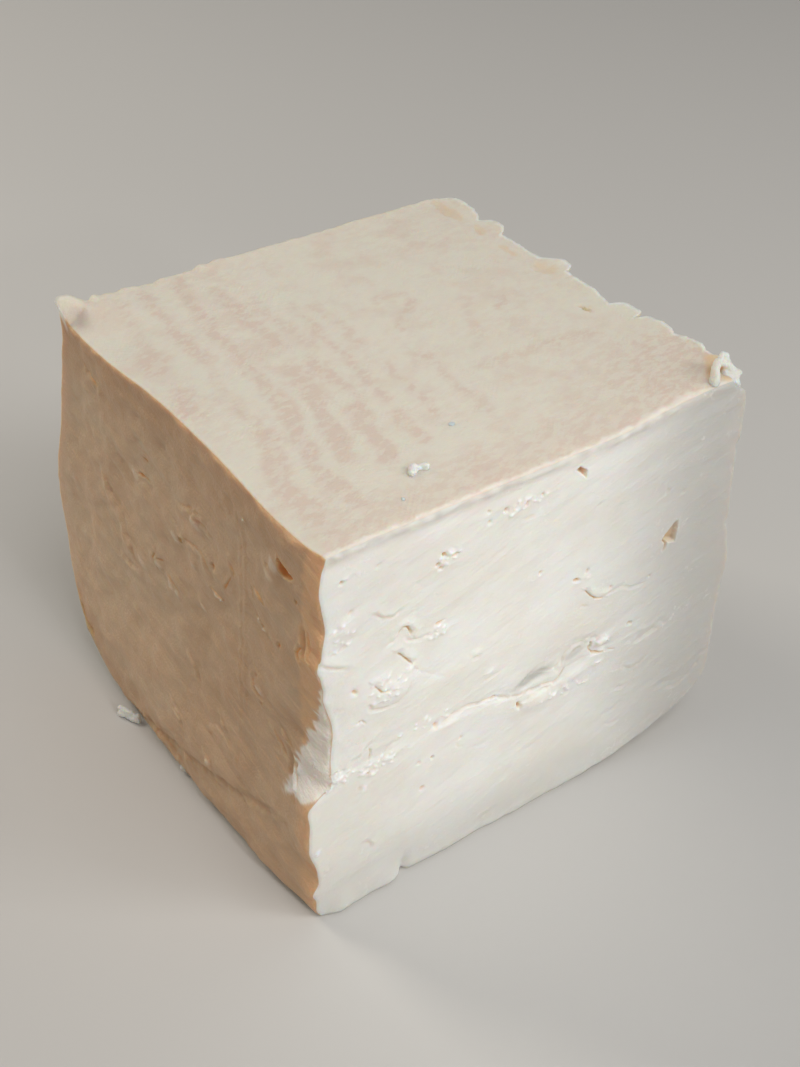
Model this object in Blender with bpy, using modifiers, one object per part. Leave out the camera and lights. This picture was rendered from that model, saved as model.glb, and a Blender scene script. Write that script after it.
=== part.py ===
"""A block of pressed bean curd, cut from a slab that set in a cloth-lined mould.

The block stands on z = 0 with +Z up. Its front (-Y) and left (-X) sides are knife cuts. Its right
(+X) and back (+Y) sides are the mould's walls, which sag outwards and turn under in wide curves.
The skin on top keeps a ragged lip over the right wall and a curled corner at the back left.
Shapes are worked out in millimetres from the front left bottom corner, and are then moved so that
the origin lies under the middle of the block.
"""

import math

import bmesh
import bpy
from mathutils import Matrix, Vector, noise

MM = 0.001
NAME = "tofu_block"

# Driving dimensions, in millimetres.
WIDTH = 102.5
DEPTH = 97.4
HEIGHT = 99.5
CELLS = 25  # grid cells along each edge of the block
END_CROWDING = 0.55  # 0 spaces the rows evenly, 1 would bunch them fully at both ends

# How far each wall stands out at its widest, how high up that is, and what is left of it on top.
BACK_SAG, BACK_SAG_HEIGHT, BACK_TOP = 13.2, 38.0, 1.2
RIGHT_SAG, RIGHT_SAG_HEIGHT, RIGHT_TOP = 7.4, 17.0, 1.7
RIGHT_TOP_DRAW = 3.6  # how much further in the right wall's top lies away from the front cut
RIGHT_DRAW_FROM, RIGHT_DRAW_TO = 14.0, 34.0
LEFT_SAG, LEFT_SAG_HEIGHT, LEFT_SAG_SPREAD = 3.6, 11.0, 26.0
LEFT_DROOP_OUT, LEFT_DROOP_DOWN, LEFT_DROOP_PLACE = 0.9, 0.6, 15.0  # the skin's left edge
FRONT_SAG = 0.7

# The mould's lower edges are quarter ellipses: how far they reach under the block and up its wall.
UNDER_BACK, UP_BACK = 34.0, 38.0
UNDER_RIGHT, UP_RIGHT = 50.0, 18.0  # at the front cut; they turn into those of the back
UPRIGHT_TOP, UPRIGHT_FOOT = 5.0, 30.0  # radii of the upright edge between the mould's walls
ROUNDING_STEPS = 20

# The small rounds where the cuts meet the bottom.
LEFT_ROUND = (3.2, 3.6)
FRONT_ROUND = (1.2, 1.6)

# The skin dips along the left cut towards the back, and its corner curls up in a blunt knob.
DIP_DEPTH, DIP_FROM, DIP_TO = 3.3, 48.0, 92.0
DIP_REACH, DIP_REACH_BACK = 12.0, 3.4
CURL_HEIGHT, CURL_LEAN, CURL_WIDTH, CURL_DEPTH = 2.5, 2.0, 5.8, 2.6

# Where two layers of curd meet in the front cut, the lower one stands proud.
LEDGE_PROUD, LEDGE_FADE = 0.6, 20.0
LEDGE_HEIGHT, LEDGE_DIP, LEDGE_DIP_PLACE = 41.5, 5.0, 55.0

# The front upright edge bulges to the left below the ledge, and a little where it is torn.
BULGE, BULGE_FROM, BULGE_TO, BULGE_REACH = 2.9, 18.0, 39.0, 7.0
TORN_EDGE, TORN_EDGE_FROM, TORN_EDGE_TO = 0.9, 40.0, 54.0

# The ragged lip of skin over the right wall: middle, half length, reach and lift of each lobe.
LIP_LOBES = (
    (92.2, 8.8, 2.2, 0.3),
    (78.8, 4.0, 2.6, 0.5),
    (56.8, 4.3, 4.4, 0.8),
    (50.4, 13.0, 1.6, 0.2),
    (33.8, 3.5, 3.7, 0.6),
    (26.4, 4.4, 3.5, 0.6),
    (16.4, 5.2, 1.3, 0.4),
    (5.4, 6.4, 0.6, 0.3),
)
LIP_STEPS, LIP_ROOT, LIP_THICKNESS = 72, 3.0, 1.1

# The torn flake that stands in an arch at the front right corner.
FLAKE_MIDDLE, FLAKE_RADIUS, FLAKE_HEIGHT = (100.7, 4.4), 3.7, 4.8
FLAKE_LENGTH, FLAKE_THICKNESS, FLAKE_TURN = 3.0, 1.3, -4.0

# Pits in the front cut: place along X and up Z, length, width, depth, turn in degrees, sides.
FRONT_PITS = (
    (89.0, 66.2, 10.0, 4.6, 3.2, 72.0, 3),
    (59.6, 94.6, 4.4, 3.2, 2.2, -20.0, 3),
    (72.6, 42.4, 6.0, 2.2, 2.6, 6.0, 6),
    (51.8, 35.9, 1.8, 1.2, 1.6, 100.0, 5),
    (19.6, 72.2, 4.2, 1.8, 1.8, 150.0, 5),
    (19.6, 65.6, 4.6, 1.4, 1.8, 130.0, 5),
    (13.6, 60.4, 4.0, 1.6, 1.6, 165.0, 5),
    (26.0, 86.8, 2.4, 1.4, 1.4, 60.0, 4),
    (66.8, 60.4, 2.8, 1.6, 1.4, 30.0, 4),
    (6.0, 39.4, 3.2, 2.4, 1.8, 15.0, 5),
)
# Pits in the left cut: place along Y and up Z, then as above.
LEFT_PITS = (
    (10.6, 90.0, 6.4, 4.4, 3.0, -12.0, 3),
    (50.0, 69.9, 2.0, 1.4, 1.6, 100.0, 4),
    (61.1, 57.6, 1.8, 1.3, 1.5, 80.0, 4),
    (63.1, 76.3, 3.0, 1.2, 1.2, 120.0, 5),
)
TORN_PLACE, TORN_SIZE, TORN_TURN = (57.5, 37.6), (7.5, 2.4, 1.7), -14.0
WALL_GROOVES = ((83.0, 1.4), (58.6, 1.0))  # cloth folds across the right wall: height, depth
UNEVENNESS, UNEVENNESS_SIZE = 0.55, 21.0

CREAM = (0.80, 0.72, 0.60, 1.0)


def clear_scene():
    """Removes the objects that a new file starts with."""
    for obj in list(bpy.data.objects):
        bpy.data.objects.remove(obj, do_unlink=True)


def new_collection(name):
    """A collection in the scene."""
    collection = bpy.data.collections.new(name)
    bpy.context.scene.collection.children.link(collection)
    return collection


def curd_material():
    """Moist, matt, cream-white curd."""
    material = bpy.data.materials.new("curd")
    material.use_nodes = True
    shader = material.node_tree.nodes["Principled BSDF"]
    shader.inputs["Base Color"].default_value = CREAM
    shader.inputs["Roughness"].default_value = 0.42
    shader.inputs["Metallic"].default_value = 0.0
    return material


def smooth(value, start, end):
    """0 up to start, 1 from end, and a soft ramp between."""
    ramp = min(1.0, max(0.0, (value - start) / (end - start)))
    return ramp * ramp * (3.0 - 2.0 * ramp)


def hump(value, middle, spread):
    """1 at the middle, falling off on both sides."""
    return math.exp(-(((value - middle) / spread) ** 2))


def crowd(share):
    """Moves an even share from 0 to 1 so that rows lie closer at both ends."""
    return share - END_CROWDING * math.sin(2.0 * math.pi * share) / (2.0 * math.pi)


def quarter_round(across, up):
    """Turns the outer corner of a unit square into a quarter circle and keeps its lengths even."""
    if across <= 0.0 or up <= 0.0:
        return across, up
    reach = max(across, up)
    turn = 0.25 * math.pi * min(across, up) / reach
    if across >= up:
        return reach * math.cos(turn), reach * math.sin(turn)
    return reach * math.sin(turn), reach * math.cos(turn)


def mould_excess(x, y, z):
    """Over 1 where a point lies outside the mould's rounded edges and corner."""
    high = UP_RIGHT + (UP_BACK - UP_RIGHT) * smooth(y, 25.0, 85.0)
    low = max(0.0, 1.0 - z / high)
    upright = UPRIGHT_TOP + (UPRIGHT_FOOT - UPRIGHT_TOP) * (1.0 - z / HEIGHT) ** 2
    under = smooth(low, 0.0, 0.6)
    wide = UNDER_RIGHT + (UNDER_BACK - UNDER_RIGHT) * smooth(y, 5.0, 60.0)
    wide = upright + (wide - upright) * under
    deep = upright + (UNDER_BACK - upright) * under
    right = max(0.0, (x - WIDTH) / wide + 1.0)
    back = max(0.0, (y - DEPTH) / deep + 1.0)
    return math.hypot(right, back, low)


def mould_rounded(x, y, z):
    """Draws a point of the plain box in to the mould's rounded surface, from an inner box."""
    core = Vector((min(x, WIDTH - UNDER_RIGHT), min(y, DEPTH - UNDER_BACK), max(z, UP_BACK)))
    ray = Vector((x, y, z)) - core
    inside, outside = 0.0, 1.0
    if mould_excess(x, y, z) <= 1.0:
        return x, y, z
    for _ in range(ROUNDING_STEPS):
        middle = 0.5 * (inside + outside)
        if mould_excess(*(core + ray * middle)) > 1.0:
            outside = middle
        else:
            inside = middle
    return tuple(core + ray * inside)


def rounded(point):
    """The block with its lower edges and the mould's upright edge rounded."""
    x, y, z = mould_rounded(*point)
    out, low = quarter_round(1.0 - x / LEFT_ROUND[0], 1.0 - z / LEFT_ROUND[1])
    x, z = LEFT_ROUND[0] * (1.0 - out), LEFT_ROUND[1] * (1.0 - low)
    out, low = quarter_round(1.0 - y / FRONT_ROUND[0], 1.0 - z / FRONT_ROUND[1])
    y, z = FRONT_ROUND[0] * (1.0 - out), FRONT_ROUND[1] * (1.0 - low)
    return x, y, z


def sag(height, widest, top_height=HEIGHT):
    """How much of its full sag a wall has: all of it up to the widest height, none on top."""
    share = min(1.0, max(0.0, (height - widest) / (top_height - widest)))
    return math.cos(0.5 * math.pi * share)


def back_offset(z):
    """How far the back wall stands out."""
    return BACK_TOP + BACK_SAG * sag(z, BACK_SAG_HEIGHT) ** 1.6


def right_offset(y, z):
    """How far the right wall stands out, less the folds that the cloth pressed into it."""
    folds = sum(depth * hump(z, height, 1.6) for height, depth in WALL_GROOVES)
    drawn = RIGHT_TOP_DRAW * smooth(y, RIGHT_DRAW_FROM, RIGHT_DRAW_TO) * smooth(z, 70.0, HEIGHT)
    return RIGHT_TOP + RIGHT_SAG * sag(z, RIGHT_SAG_HEIGHT) - folds - drawn


def left_offset(y, z):
    """How far the left cut bows out: most near its foot, and a little behind the dip on top."""
    along = max(0.0, math.sin(math.pi * min(1.0, max(0.0, y / DEPTH)))) ** 0.8
    foot = LEFT_SAG * along * hump(z, LEFT_SAG_HEIGHT, LEFT_SAG_SPREAD)
    behind = 0.9 * hump(y, 78.0, 20.0) * smooth(z, 60.0, HEIGHT)
    droop = LEFT_DROOP_OUT * hump(y, LEFT_DROOP_PLACE, 18.0) * smooth(z, 66.0, HEIGHT)
    return foot + behind + droop


def ledge_height(x):
    """The line where the lower layer of curd begins, along the front cut."""
    return LEDGE_HEIGHT - LEDGE_DIP * hump(x, LEDGE_DIP_PLACE, 9.0)


def front_offset(x, z):
    """How far the front cut stands out: a proud lower layer that fades towards the foot."""
    line = ledge_height(x)
    below = 1.0 - smooth(z, line - 1.2, line + 1.2)
    fade = smooth(z, line - LEDGE_FADE, line) * (1.0 - smooth(x, 78.0, 95.0))
    foot = FRONT_SAG * (1.0 - smooth(z, 2.0, 40.0))
    right_top = -1.2 * smooth(x, 62.0, 95.0) * smooth(z, 70.0, HEIGHT)
    return LEDGE_PROUD * below * fade + foot + right_top


def edge_offset(x, y, z):
    """How far the front upright edge moves to the right: it bulges to the left."""
    bulge = smooth(z, BULGE_FROM - 3.0, BULGE_FROM + 5.0)
    bulge *= 1.0 - smooth(z, BULGE_TO - 4.0, BULGE_TO + 1.0)
    torn = smooth(z, TORN_EDGE_FROM, TORN_EDGE_FROM + 3.0)
    torn *= 1.0 - smooth(z, TORN_EDGE_TO - 4.0, TORN_EDGE_TO)
    near = math.exp(-(x * x + y * y) / BULGE_REACH**2)
    return -(BULGE * bulge + TORN_EDGE * torn) * near


def curl(x, y):
    """Share of the curl at the skin's back left corner."""
    blunt = 1.0 - smooth(x, CURL_WIDTH - 2.6, CURL_WIDTH)
    return blunt * smooth(y, DEPTH - CURL_DEPTH, DEPTH + 0.2)


def skin_rise(x, y):
    """How far the top lies above its even height."""
    reach = DIP_REACH + (DIP_REACH_BACK - DIP_REACH) * smooth(y, 78.0, 96.0)
    dip = DIP_DEPTH * smooth(y, DIP_FROM, DIP_TO) * hump(x, 0.0, reach)
    droop = LEFT_DROOP_DOWN * hump(y, LEFT_DROOP_PLACE, 18.0) + 0.5 * hump(y, 47.0, 12.0)
    droop *= hump(x, 0.0, 6.0)
    back = (0.4 * hump(x, 21.0, 8.0) - 0.45 * hump(x, 7.5, 4.0)) * hump(y, DEPTH, 12.0)
    front = 1.2 * smooth(x, 62.0, 92.0) * hump(y, 0.0, 20.0)
    even = front - dip - droop - back
    return even + (CURL_HEIGHT - even) * curl(x, y)


def formed(x, y, z):
    """Takes a point of the plain box, in millimetres, to its place on the sagged block."""
    right, back, top = x / WIDTH, y / DEPTH, z / HEIGHT
    x, y, z = rounded((x, y, z))
    uneven = UNEVENNESS * noise.noise(Vector((x, y, z)) / UNEVENNESS_SIZE)
    moved_x = right_offset(y, z) * right - left_offset(y, z) * (1.0 - right)
    moved_x += edge_offset(x, y, z) - CURL_LEAN * curl(x, y) * top**24
    moved_y = back_offset(z) * back - front_offset(x, z) * (1.0 - back)
    wall = top * (1.0 - top) * 4.0
    moved_x += uneven * wall * (2.0 * right - 1.0)
    moved_y += uneven * wall * (2.0 * back - 1.0)
    return Vector((x + moved_x, y + moved_y, z + skin_rise(x, y) * top**8))


def block_mesh():
    """The block as one grid over all six sides."""
    bm = bmesh.new()
    bmesh.ops.create_cube(bm, size=1.0)
    bmesh.ops.subdivide_edges(bm, edges=bm.edges[:], cuts=CELLS - 1, use_grid_fill=True)
    for vert in bm.verts:
        x, y, z = (crowd(share + 0.5) for share in vert.co)
        vert.co = formed(x * WIDTH, y * DEPTH, z * HEIGHT)
    return bm


def lip_reach(y):
    """(reach, lift) of the ragged lip at a place along the right wall."""
    reach, lift = 0.4, 0.0
    for middle, half, out, up in LIP_LOBES:
        share = max(0.0, 1.0 - abs((y - middle) / half) ** 3)
        reach = max(reach, out * share)
        lift = max(lift, up * share)
    return reach, lift


def lip_mesh():
    """The skin that was squeezed out over the right wall, as an open sheet from inside the top."""
    bm = bmesh.new()
    bmesh.ops.create_grid(bm, x_segments=4, y_segments=LIP_STEPS, size=0.5)
    for vert in bm.verts:
        outward = vert.co.x + 0.5
        y = 1.0 + (DEPTH - 2.0) * (vert.co.y + 0.5)
        reach, lift = lip_reach(y)
        root = WIDTH + right_offset(y, HEIGHT) - LIP_ROOT
        x = root + outward * (LIP_ROOT + reach)
        rise = (lift + 1.4) * outward**2 - 1.2
        vert.co = (x, y, HEIGHT + skin_rise(x, y) + rise)
    return bm


def flake_mesh():
    """A torn flake of skin that arches up, as an open sheet over half a turn."""
    bm = bmesh.new()
    bmesh.ops.create_grid(bm, x_segments=10, y_segments=3, size=0.5)
    for vert in bm.verts:
        turn = math.radians(-22.0 + 224.0 * (vert.co.x + 0.5))
        taper = 1.0 - 0.25 * (vert.co.y + 0.5)
        x = FLAKE_RADIUS * taper * math.cos(turn)
        z = FLAKE_HEIGHT * taper * math.sin(turn)
        vert.co = (x, FLAKE_LENGTH * vert.co.y, z)
    turned = Matrix.Rotation(math.radians(FLAKE_TURN), 3, "Z")
    bmesh.ops.rotate(bm, cent=(0, 0, 0), matrix=turned, verts=bm.verts)
    height = HEIGHT + skin_rise(*FLAKE_MIDDLE)
    bmesh.ops.translate(bm, vec=(*FLAKE_MIDDLE, height), verts=bm.verts)
    return bm


def pit_mesh(place, inward, length, width, depth, turn, sides):
    """A tapered wedge that reaches from just outside a cut face to the pit's floor."""
    outside = 0.9
    bm = bmesh.new()
    bmesh.ops.create_cone(
        bm,
        cap_ends=True,
        segments=sides,
        radius1=0.2,
        radius2=0.5 * (1.0 + outside / depth),
        depth=depth + outside,
    )
    bmesh.ops.scale(bm, vec=(length, width, 1.0), verts=bm.verts)
    bmesh.ops.translate(bm, vec=(0, 0, 0.5 * (outside - depth)), verts=bm.verts)
    spin = Matrix.Rotation(math.radians(turn), 3, "Z")
    face = (-inward).to_track_quat("Z", "Y").to_matrix()
    bmesh.ops.rotate(bm, cent=(0, 0, 0), matrix=face @ spin, verts=bm.verts)
    bmesh.ops.translate(bm, vec=place, verts=bm.verts)
    return bm


def torn_mesh():
    """A shallow lens that leaves the torn hollow above the ledge."""
    bm = bmesh.new()
    bmesh.ops.create_icosphere(bm, subdivisions=2, radius=1.0)
    along, up, deep = TORN_SIZE
    bmesh.ops.scale(bm, vec=(along, deep, up), verts=bm.verts)
    turned = Matrix.Rotation(math.radians(TORN_TURN), 3, "Y")
    bmesh.ops.rotate(bm, cent=(0, 0, 0), matrix=turned, verts=bm.verts)
    x, z = TORN_PLACE
    bmesh.ops.translate(bm, vec=formed(x, 0.0, z), verts=bm.verts)
    return bm


def footprint_shift(bm):
    """The move that brings the middle of the block's footprint over the origin."""
    lows = [min(vert.co[axis] for vert in bm.verts) for axis in (0, 1)]
    highs = [max(vert.co[axis] for vert in bm.verts) for axis in (0, 1)]
    return Vector((-0.5 * (lows[0] + highs[0]), -0.5 * (lows[1] + highs[1]), 0.0))


def new_object(name, bm, shift, collection):
    """Moves a mesh over the origin, brings it to metres and makes an object of it."""
    bmesh.ops.translate(bm, vec=shift, verts=bm.verts)
    bmesh.ops.scale(bm, vec=(MM, MM, MM), verts=bm.verts)
    mesh = bpy.data.meshes.new(name)
    bm.to_mesh(mesh)
    bm.free()
    obj = bpy.data.objects.new(name, mesh)
    collection.objects.link(obj)
    return obj


def as_tool(obj):
    """Marks an object as a tool that shapes the block and isn't part of it."""
    obj.hide_render = True
    obj.display_type = "WIRE"
    return obj


def thicken(obj, thickness):
    """Gives an open sheet its wall, half to each side."""
    wall = obj.modifiers.new("wall", "SOLIDIFY")
    wall.thickness = thickness * MM
    wall.offset = 0.0


def combine(block, tool, operation):
    """Adds a tool to the block, or takes it away."""
    boolean = block.modifiers.new(tool.name, "BOOLEAN")
    boolean.operation = operation
    boolean.object = tool
    boolean.solver = "EXACT"


def make_pits(block, shift, tools):
    """Cuts every pit of the two cut faces."""
    cuts = [(formed(x, 0.0, z), Vector((0, 1, 0)), size) for x, z, *size in FRONT_PITS]
    cuts += [(formed(0.0, y, z), Vector((1, 0, 0)), size) for y, z, *size in LEFT_PITS]
    for number, (place, inward, size) in enumerate(cuts, 1):
        bm = pit_mesh(place, inward, *size)
        tool = as_tool(new_object(f"pit_{number}", bm, shift, tools))
        combine(block, tool, "DIFFERENCE")


def make_block():
    """Builds the block with its lip, its flake, its torn hollow and its pits."""
    parts = new_collection(NAME)
    tools = new_collection("shaping_tools")
    bm = block_mesh()
    shift = footprint_shift(bm)
    block = new_object(NAME, bm, shift, parts)
    block.data.materials.append(curd_material())
    block.data.shade_smooth()
    block.data.set_sharp_from_angle(angle=math.radians(40.0))
    for name, mesh, wall in (
        ("lip", lip_mesh(), LIP_THICKNESS),
        ("flake", flake_mesh(), FLAKE_THICKNESS),
    ):
        tool = as_tool(new_object(name, mesh, shift, tools))
        thicken(tool, wall)
        combine(block, tool, "UNION")
    torn = as_tool(new_object("torn_hollow", torn_mesh(), shift, tools))
    combine(block, torn, "DIFFERENCE")
    make_pits(block, shift, tools)


clear_scene()
make_block()
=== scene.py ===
"""A block of pressed bean curd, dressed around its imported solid.

The block is one closed, finely divided body: a skin that was pressed in cloth on top, two knife cuts
in front and on the left, and the mould's sagging walls on the right, at the back and below. A torn
flake, a crumb or two and a sliver are pieces of their own. Sizes are in millimetres from the block's
front left bottom corner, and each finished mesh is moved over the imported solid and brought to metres.
"""

from __future__ import annotations

import logging
import math
from dataclasses import dataclass, field
from enum import Enum
from typing import Iterable

import bmesh
import bpy
from mathutils import Matrix, Vector, noise

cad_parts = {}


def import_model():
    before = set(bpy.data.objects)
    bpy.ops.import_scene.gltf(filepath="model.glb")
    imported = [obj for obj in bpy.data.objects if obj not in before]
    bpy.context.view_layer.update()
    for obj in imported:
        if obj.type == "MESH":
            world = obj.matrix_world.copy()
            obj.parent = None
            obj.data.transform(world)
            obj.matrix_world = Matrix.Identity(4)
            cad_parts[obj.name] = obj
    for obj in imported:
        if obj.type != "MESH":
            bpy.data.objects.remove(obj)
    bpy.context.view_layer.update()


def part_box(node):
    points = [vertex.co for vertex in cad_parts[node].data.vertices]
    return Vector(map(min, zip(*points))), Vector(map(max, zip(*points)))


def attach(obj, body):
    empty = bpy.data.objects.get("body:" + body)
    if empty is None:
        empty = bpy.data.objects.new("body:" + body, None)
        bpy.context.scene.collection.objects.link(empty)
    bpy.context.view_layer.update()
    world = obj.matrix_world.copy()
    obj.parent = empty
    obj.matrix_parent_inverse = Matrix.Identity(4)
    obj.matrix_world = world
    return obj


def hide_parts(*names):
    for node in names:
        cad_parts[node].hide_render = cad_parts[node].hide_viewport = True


logging.basicConfig(level=logging.INFO, format="%(message)s")
LOG = logging.getLogger("tofu")

MM = 0.001
NODE = "tofu_block"
AT_FACE = 0.01  # how near a point of the plain box lies to the side that it is on
LEAST_HEIGHT = 0.02  # the least that a mark has to raise or sink a face to count
LEAST_SHARE = 0.04  # the least that it has to colour it
Pair = tuple[float, float]
Triple = tuple[float, float, float]
Colour = Triple
Box = tuple[float, float, float, float]
# Of these shares, hollow is painted shade in pits and creases, glow is painted light that comes through thin
# curd, pale is white curd and painted glints, wet makes the curd glossier and adds painted glints, and the
# last is the skin's pink print and painted shade.
SHARES = ("hollow", "glow", "wet", "pale", "blush")


class Side(Enum):
    """The block's finished sides, in the order of its material slots."""

    SKIN = 0
    FRONT = 1
    LEFT = 2
    WALL = 3


# ---------------------------------------------------------------------------------------------
# Small shaping functions
# ---------------------------------------------------------------------------------------------


def smooth(value: float, start: float, end: float) -> float:
    """A soft ramp.

    Args:
        value: where on the ramp.
        start: the value that gives 0.
        end: the value that gives 1.

    Returns:
        A share from 0 to 1.
    """
    ramp = min(1.0, max(0.0, (value - start) / (end - start)))
    return ramp * ramp * (3.0 - 2.0 * ramp)


def hump(value: float, middle: float, spread: float) -> float:
    """1 at the middle, falling off on both sides."""
    return math.exp(-(((value - middle) / spread) ** 2))


def ragged(x: float, y: float, z: float, size: float) -> float:
    """Even noise of about -1 to 1 whose lumps measure about size."""
    return noise.noise(Vector((x, y, z)) / size)


def quarter_round(across: float, up: float) -> Pair:
    """Turns the outer corner of a unit square into a quarter circle and keeps its lengths even.

    Args:
        across: place across the edge, up to 1 at the side.
        up: the same towards the other side.

    Returns:
        The moved place.
    """
    if across <= 0.0 or up <= 0.0:
        return across, up
    reach = max(across, up)
    turn = 0.25 * math.pi * min(across, up) / reach
    if across >= up:
        return reach * math.cos(turn), reach * math.sin(turn)
    return reach * math.sin(turn), reach * math.cos(turn)


def knife_waves(along: float, up: float, flat: float, lean: float) -> float:
    """Soft waves that a knife drew across a cut, in millimetres.

    Args:
        along: place along the face.
        up: place up the face.
        flat: cosine of the cut's slope.
        lean: sine of the cut's slope.

    Returns:
        The height at that place.
    """
    with_cut, across = along * flat + up * lean, up * flat - along * lean
    broad = 0.24 * ragged(0.35 * with_cut, across, 5.0, 4.2)
    return broad + 0.13 * ragged(0.35 * with_cut, across, 21.0, 1.8)


def segment_distance(u: float, v: float, start: Pair, end: Pair) -> Pair:
    """Distance to a straight piece of line.

    Args:
        u: place across the face.
        v: place up the face.
        start: one end of the line.
        end: its other end.

    Returns:
        The distance, and 1 or -1 for the side of the line on which the place lies.
    """
    du, dv = end[0] - start[0], end[1] - start[1]
    length = du * du + dv * dv
    share = ((u - start[0]) * du + (v - start[1]) * dv) / length if length else 0.0
    share = min(1.0, max(0.0, share))
    away = math.hypot(u - start[0] - share * du, v - start[1] - share * dv)
    side = 1.0 if du * (v - start[1]) - dv * (u - start[0]) >= 0.0 else -1.0
    return away, side


# ---------------------------------------------------------------------------------------------
# Relief on the faces
# ---------------------------------------------------------------------------------------------


def box_round(points: Iterable[Pair], edge: float) -> Box:
    """Lowest and highest places of some points, widened by an edge."""
    us, vs = zip(*points)
    return min(us) - edge, min(vs) - edge, max(us) + edge, max(vs) + edge


def seen_from(u: float, v: float, place: Pair, size: Pair, turn: float) -> Pair:
    """A place as a turned ellipse sees it.

    Args:
        u: place across the face.
        v: place up the face.
        place: the ellipse's middle.
        size: its half lengths.
        turn: its turn in degrees.

    Returns:
        The distances along and across it, in half lengths.
    """
    c, s = math.cos(math.radians(turn)), math.sin(math.radians(turn))
    du, dv = u - place[0], v - place[1]
    return (c * du + s * dv) / size[0], (c * dv - s * du) / size[1]


@dataclass
class Relief:
    """What the marks at one place add up to: millimetres outwards, and shares from 0 to 1."""

    out: float = 0.0
    hollow: float = 0.0
    glow: float = 0.0
    wet: float = 0.0
    pale: float = 0.0
    blush: float = 0.0

    def add(self, out: float, **shares: float) -> None:
        """Adds a height and keeps the largest of each share."""
        self.out += out
        for name, share in shares.items():
            setattr(self, name, min(1.0, max(getattr(self, name), share)))


@dataclass(frozen=True)
class Hollow:
    """A torn hollow with its own outline, deeper towards one side."""

    outline: tuple[Pair, ...]
    depth: float
    wall: float = 0.45
    deepest: Pair = (0.0, 0.0)
    tint: float = 1.0
    rim: float = 0.12

    def reach(self) -> Box:
        """Lowest and highest places that it touches."""
        return box_round(self.outline, 1.0)

    def mark(self, u: float, v: float, relief: Relief) -> None:
        """Sinks the face inside the outline, raises a small rim around it and paints shade inside, darker on
        its deep side.

        Args:
            u: place across the face.
            v: place up the face.
            relief: what the marks there add up to, changed here.
        """
        inside = False
        away = 1e9
        for start, end in zip(self.outline, self.outline[1:] + self.outline[:1]):
            away = min(away, segment_distance(u, v, start, end)[0])
            if (start[1] > v) != (end[1] > v):
                cross = start[0] + (v - start[1]) * (end[0] - start[0]) / (end[1] - start[1])
                inside ^= u < cross
        if not inside:
            relief.add(self.rim * math.exp(-((away / 0.5) ** 2)))
            return
        middle_u = sum(point[0] for point in self.outline) / len(self.outline)
        middle_v = sum(point[1] for point in self.outline) / len(self.outline)
        lean = (u - middle_u) * self.deepest[0] + (v - middle_v) * self.deepest[1]
        share = smooth(away, 0.0, self.wall)
        depth = self.depth * max(0.15, 1.0 + lean)
        # Painted shade in the hollow, darker on its deeper side.
        shade = self.tint * min(1.0, max(0.35, 1.0 + lean))
        relief.add(-depth * share, hollow=shade * smooth(away, -0.2, 1.4 * self.wall))


@dataclass(frozen=True)
class Crease:
    """A torn line, with an optional raised lip on its left as one goes along it."""

    points: tuple[Pair, ...]
    width: float
    depth: float
    tint: float = 0.0
    lip: float = 0.0
    lip_width: float = 1.0

    def reach(self) -> Box:
        """Lowest and highest places that it touches."""
        return box_round(self.points, self.width + 2.5 * self.lip_width * (self.lip != 0.0))

    def mark(self, u: float, v: float, relief: Relief) -> None:
        """Sinks the face along the line, paints shade in it and raises it beside the line.

        Args:
            u: place across the face.
            v: place up the face.
            relief: what the marks there add up to, changed here.
        """
        found = [segment_distance(u, v, a, b) for a, b in zip(self.points, self.points[1:])]
        away, side = min(found)
        ends = (self.points[0], self.points[-1])
        end = min(math.hypot(u - p[0], v - p[1]) for p in ends)
        width = self.width * (0.72 + 0.5 * ragged(u, v, 31.0, 1.3))
        fade = 0.45 + 0.55 * smooth(end, 0.0, 2.0 * self.width)
        share = (1.0 - smooth(away, 0.1 * width, width)) * fade
        relief.add(-0.7 * self.depth * share, hollow=self.tint * share)
        if self.lip:
            beside = smooth(end, 0.0, 2.0) * hump(side * away, 0.9 * self.lip_width, self.lip_width)
            relief.add(self.lip * beside)


@dataclass(frozen=True)
class Lump:
    """A soft bump, or a dent where its height is negative."""

    place: Pair
    size: Pair
    height: float
    turn: float = 0.0
    # tint paints shade in a dent, pale whitens as white curd and painted glints, blush paints shade around
    # it.
    wet: float = 0.0
    pale: float = 0.0
    tint: float = 0.0
    blush: float = 0.0

    def reach(self) -> Box:
        """Lowest and highest places that it touches."""
        return box_round((self.place,), 2.2 * max(self.size))

    def mark(self, u: float, v: float, relief: Relief) -> None:
        """Raises or dents the face around its place and tints it: painted shade in a dent, whitening for
        white curd and painted glints, and painted shade around it.

        Args:
            u: place across the face.
            v: place up the face.
            relief: what the marks there add up to, changed here.
        """
        along, over = seen_from(u, v, self.place, self.size, self.turn)
        share = math.exp(-along * along - over * over)
        core = smooth(share, 0.25, 0.75)
        relief.add(
            self.height * share,
            wet=self.wet * core,
            pale=self.pale * core,
            hollow=self.tint * core,
            blush=self.blush * smooth(share, 0.1, 0.8),
        )


def dot(u: float, v: float, radius: float, depth: float, tint: float = 0.9) -> Lump:
    """A small round hole with shade painted in it."""
    return Lump((u, v), (radius, radius), -depth, tint=tint)


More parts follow.
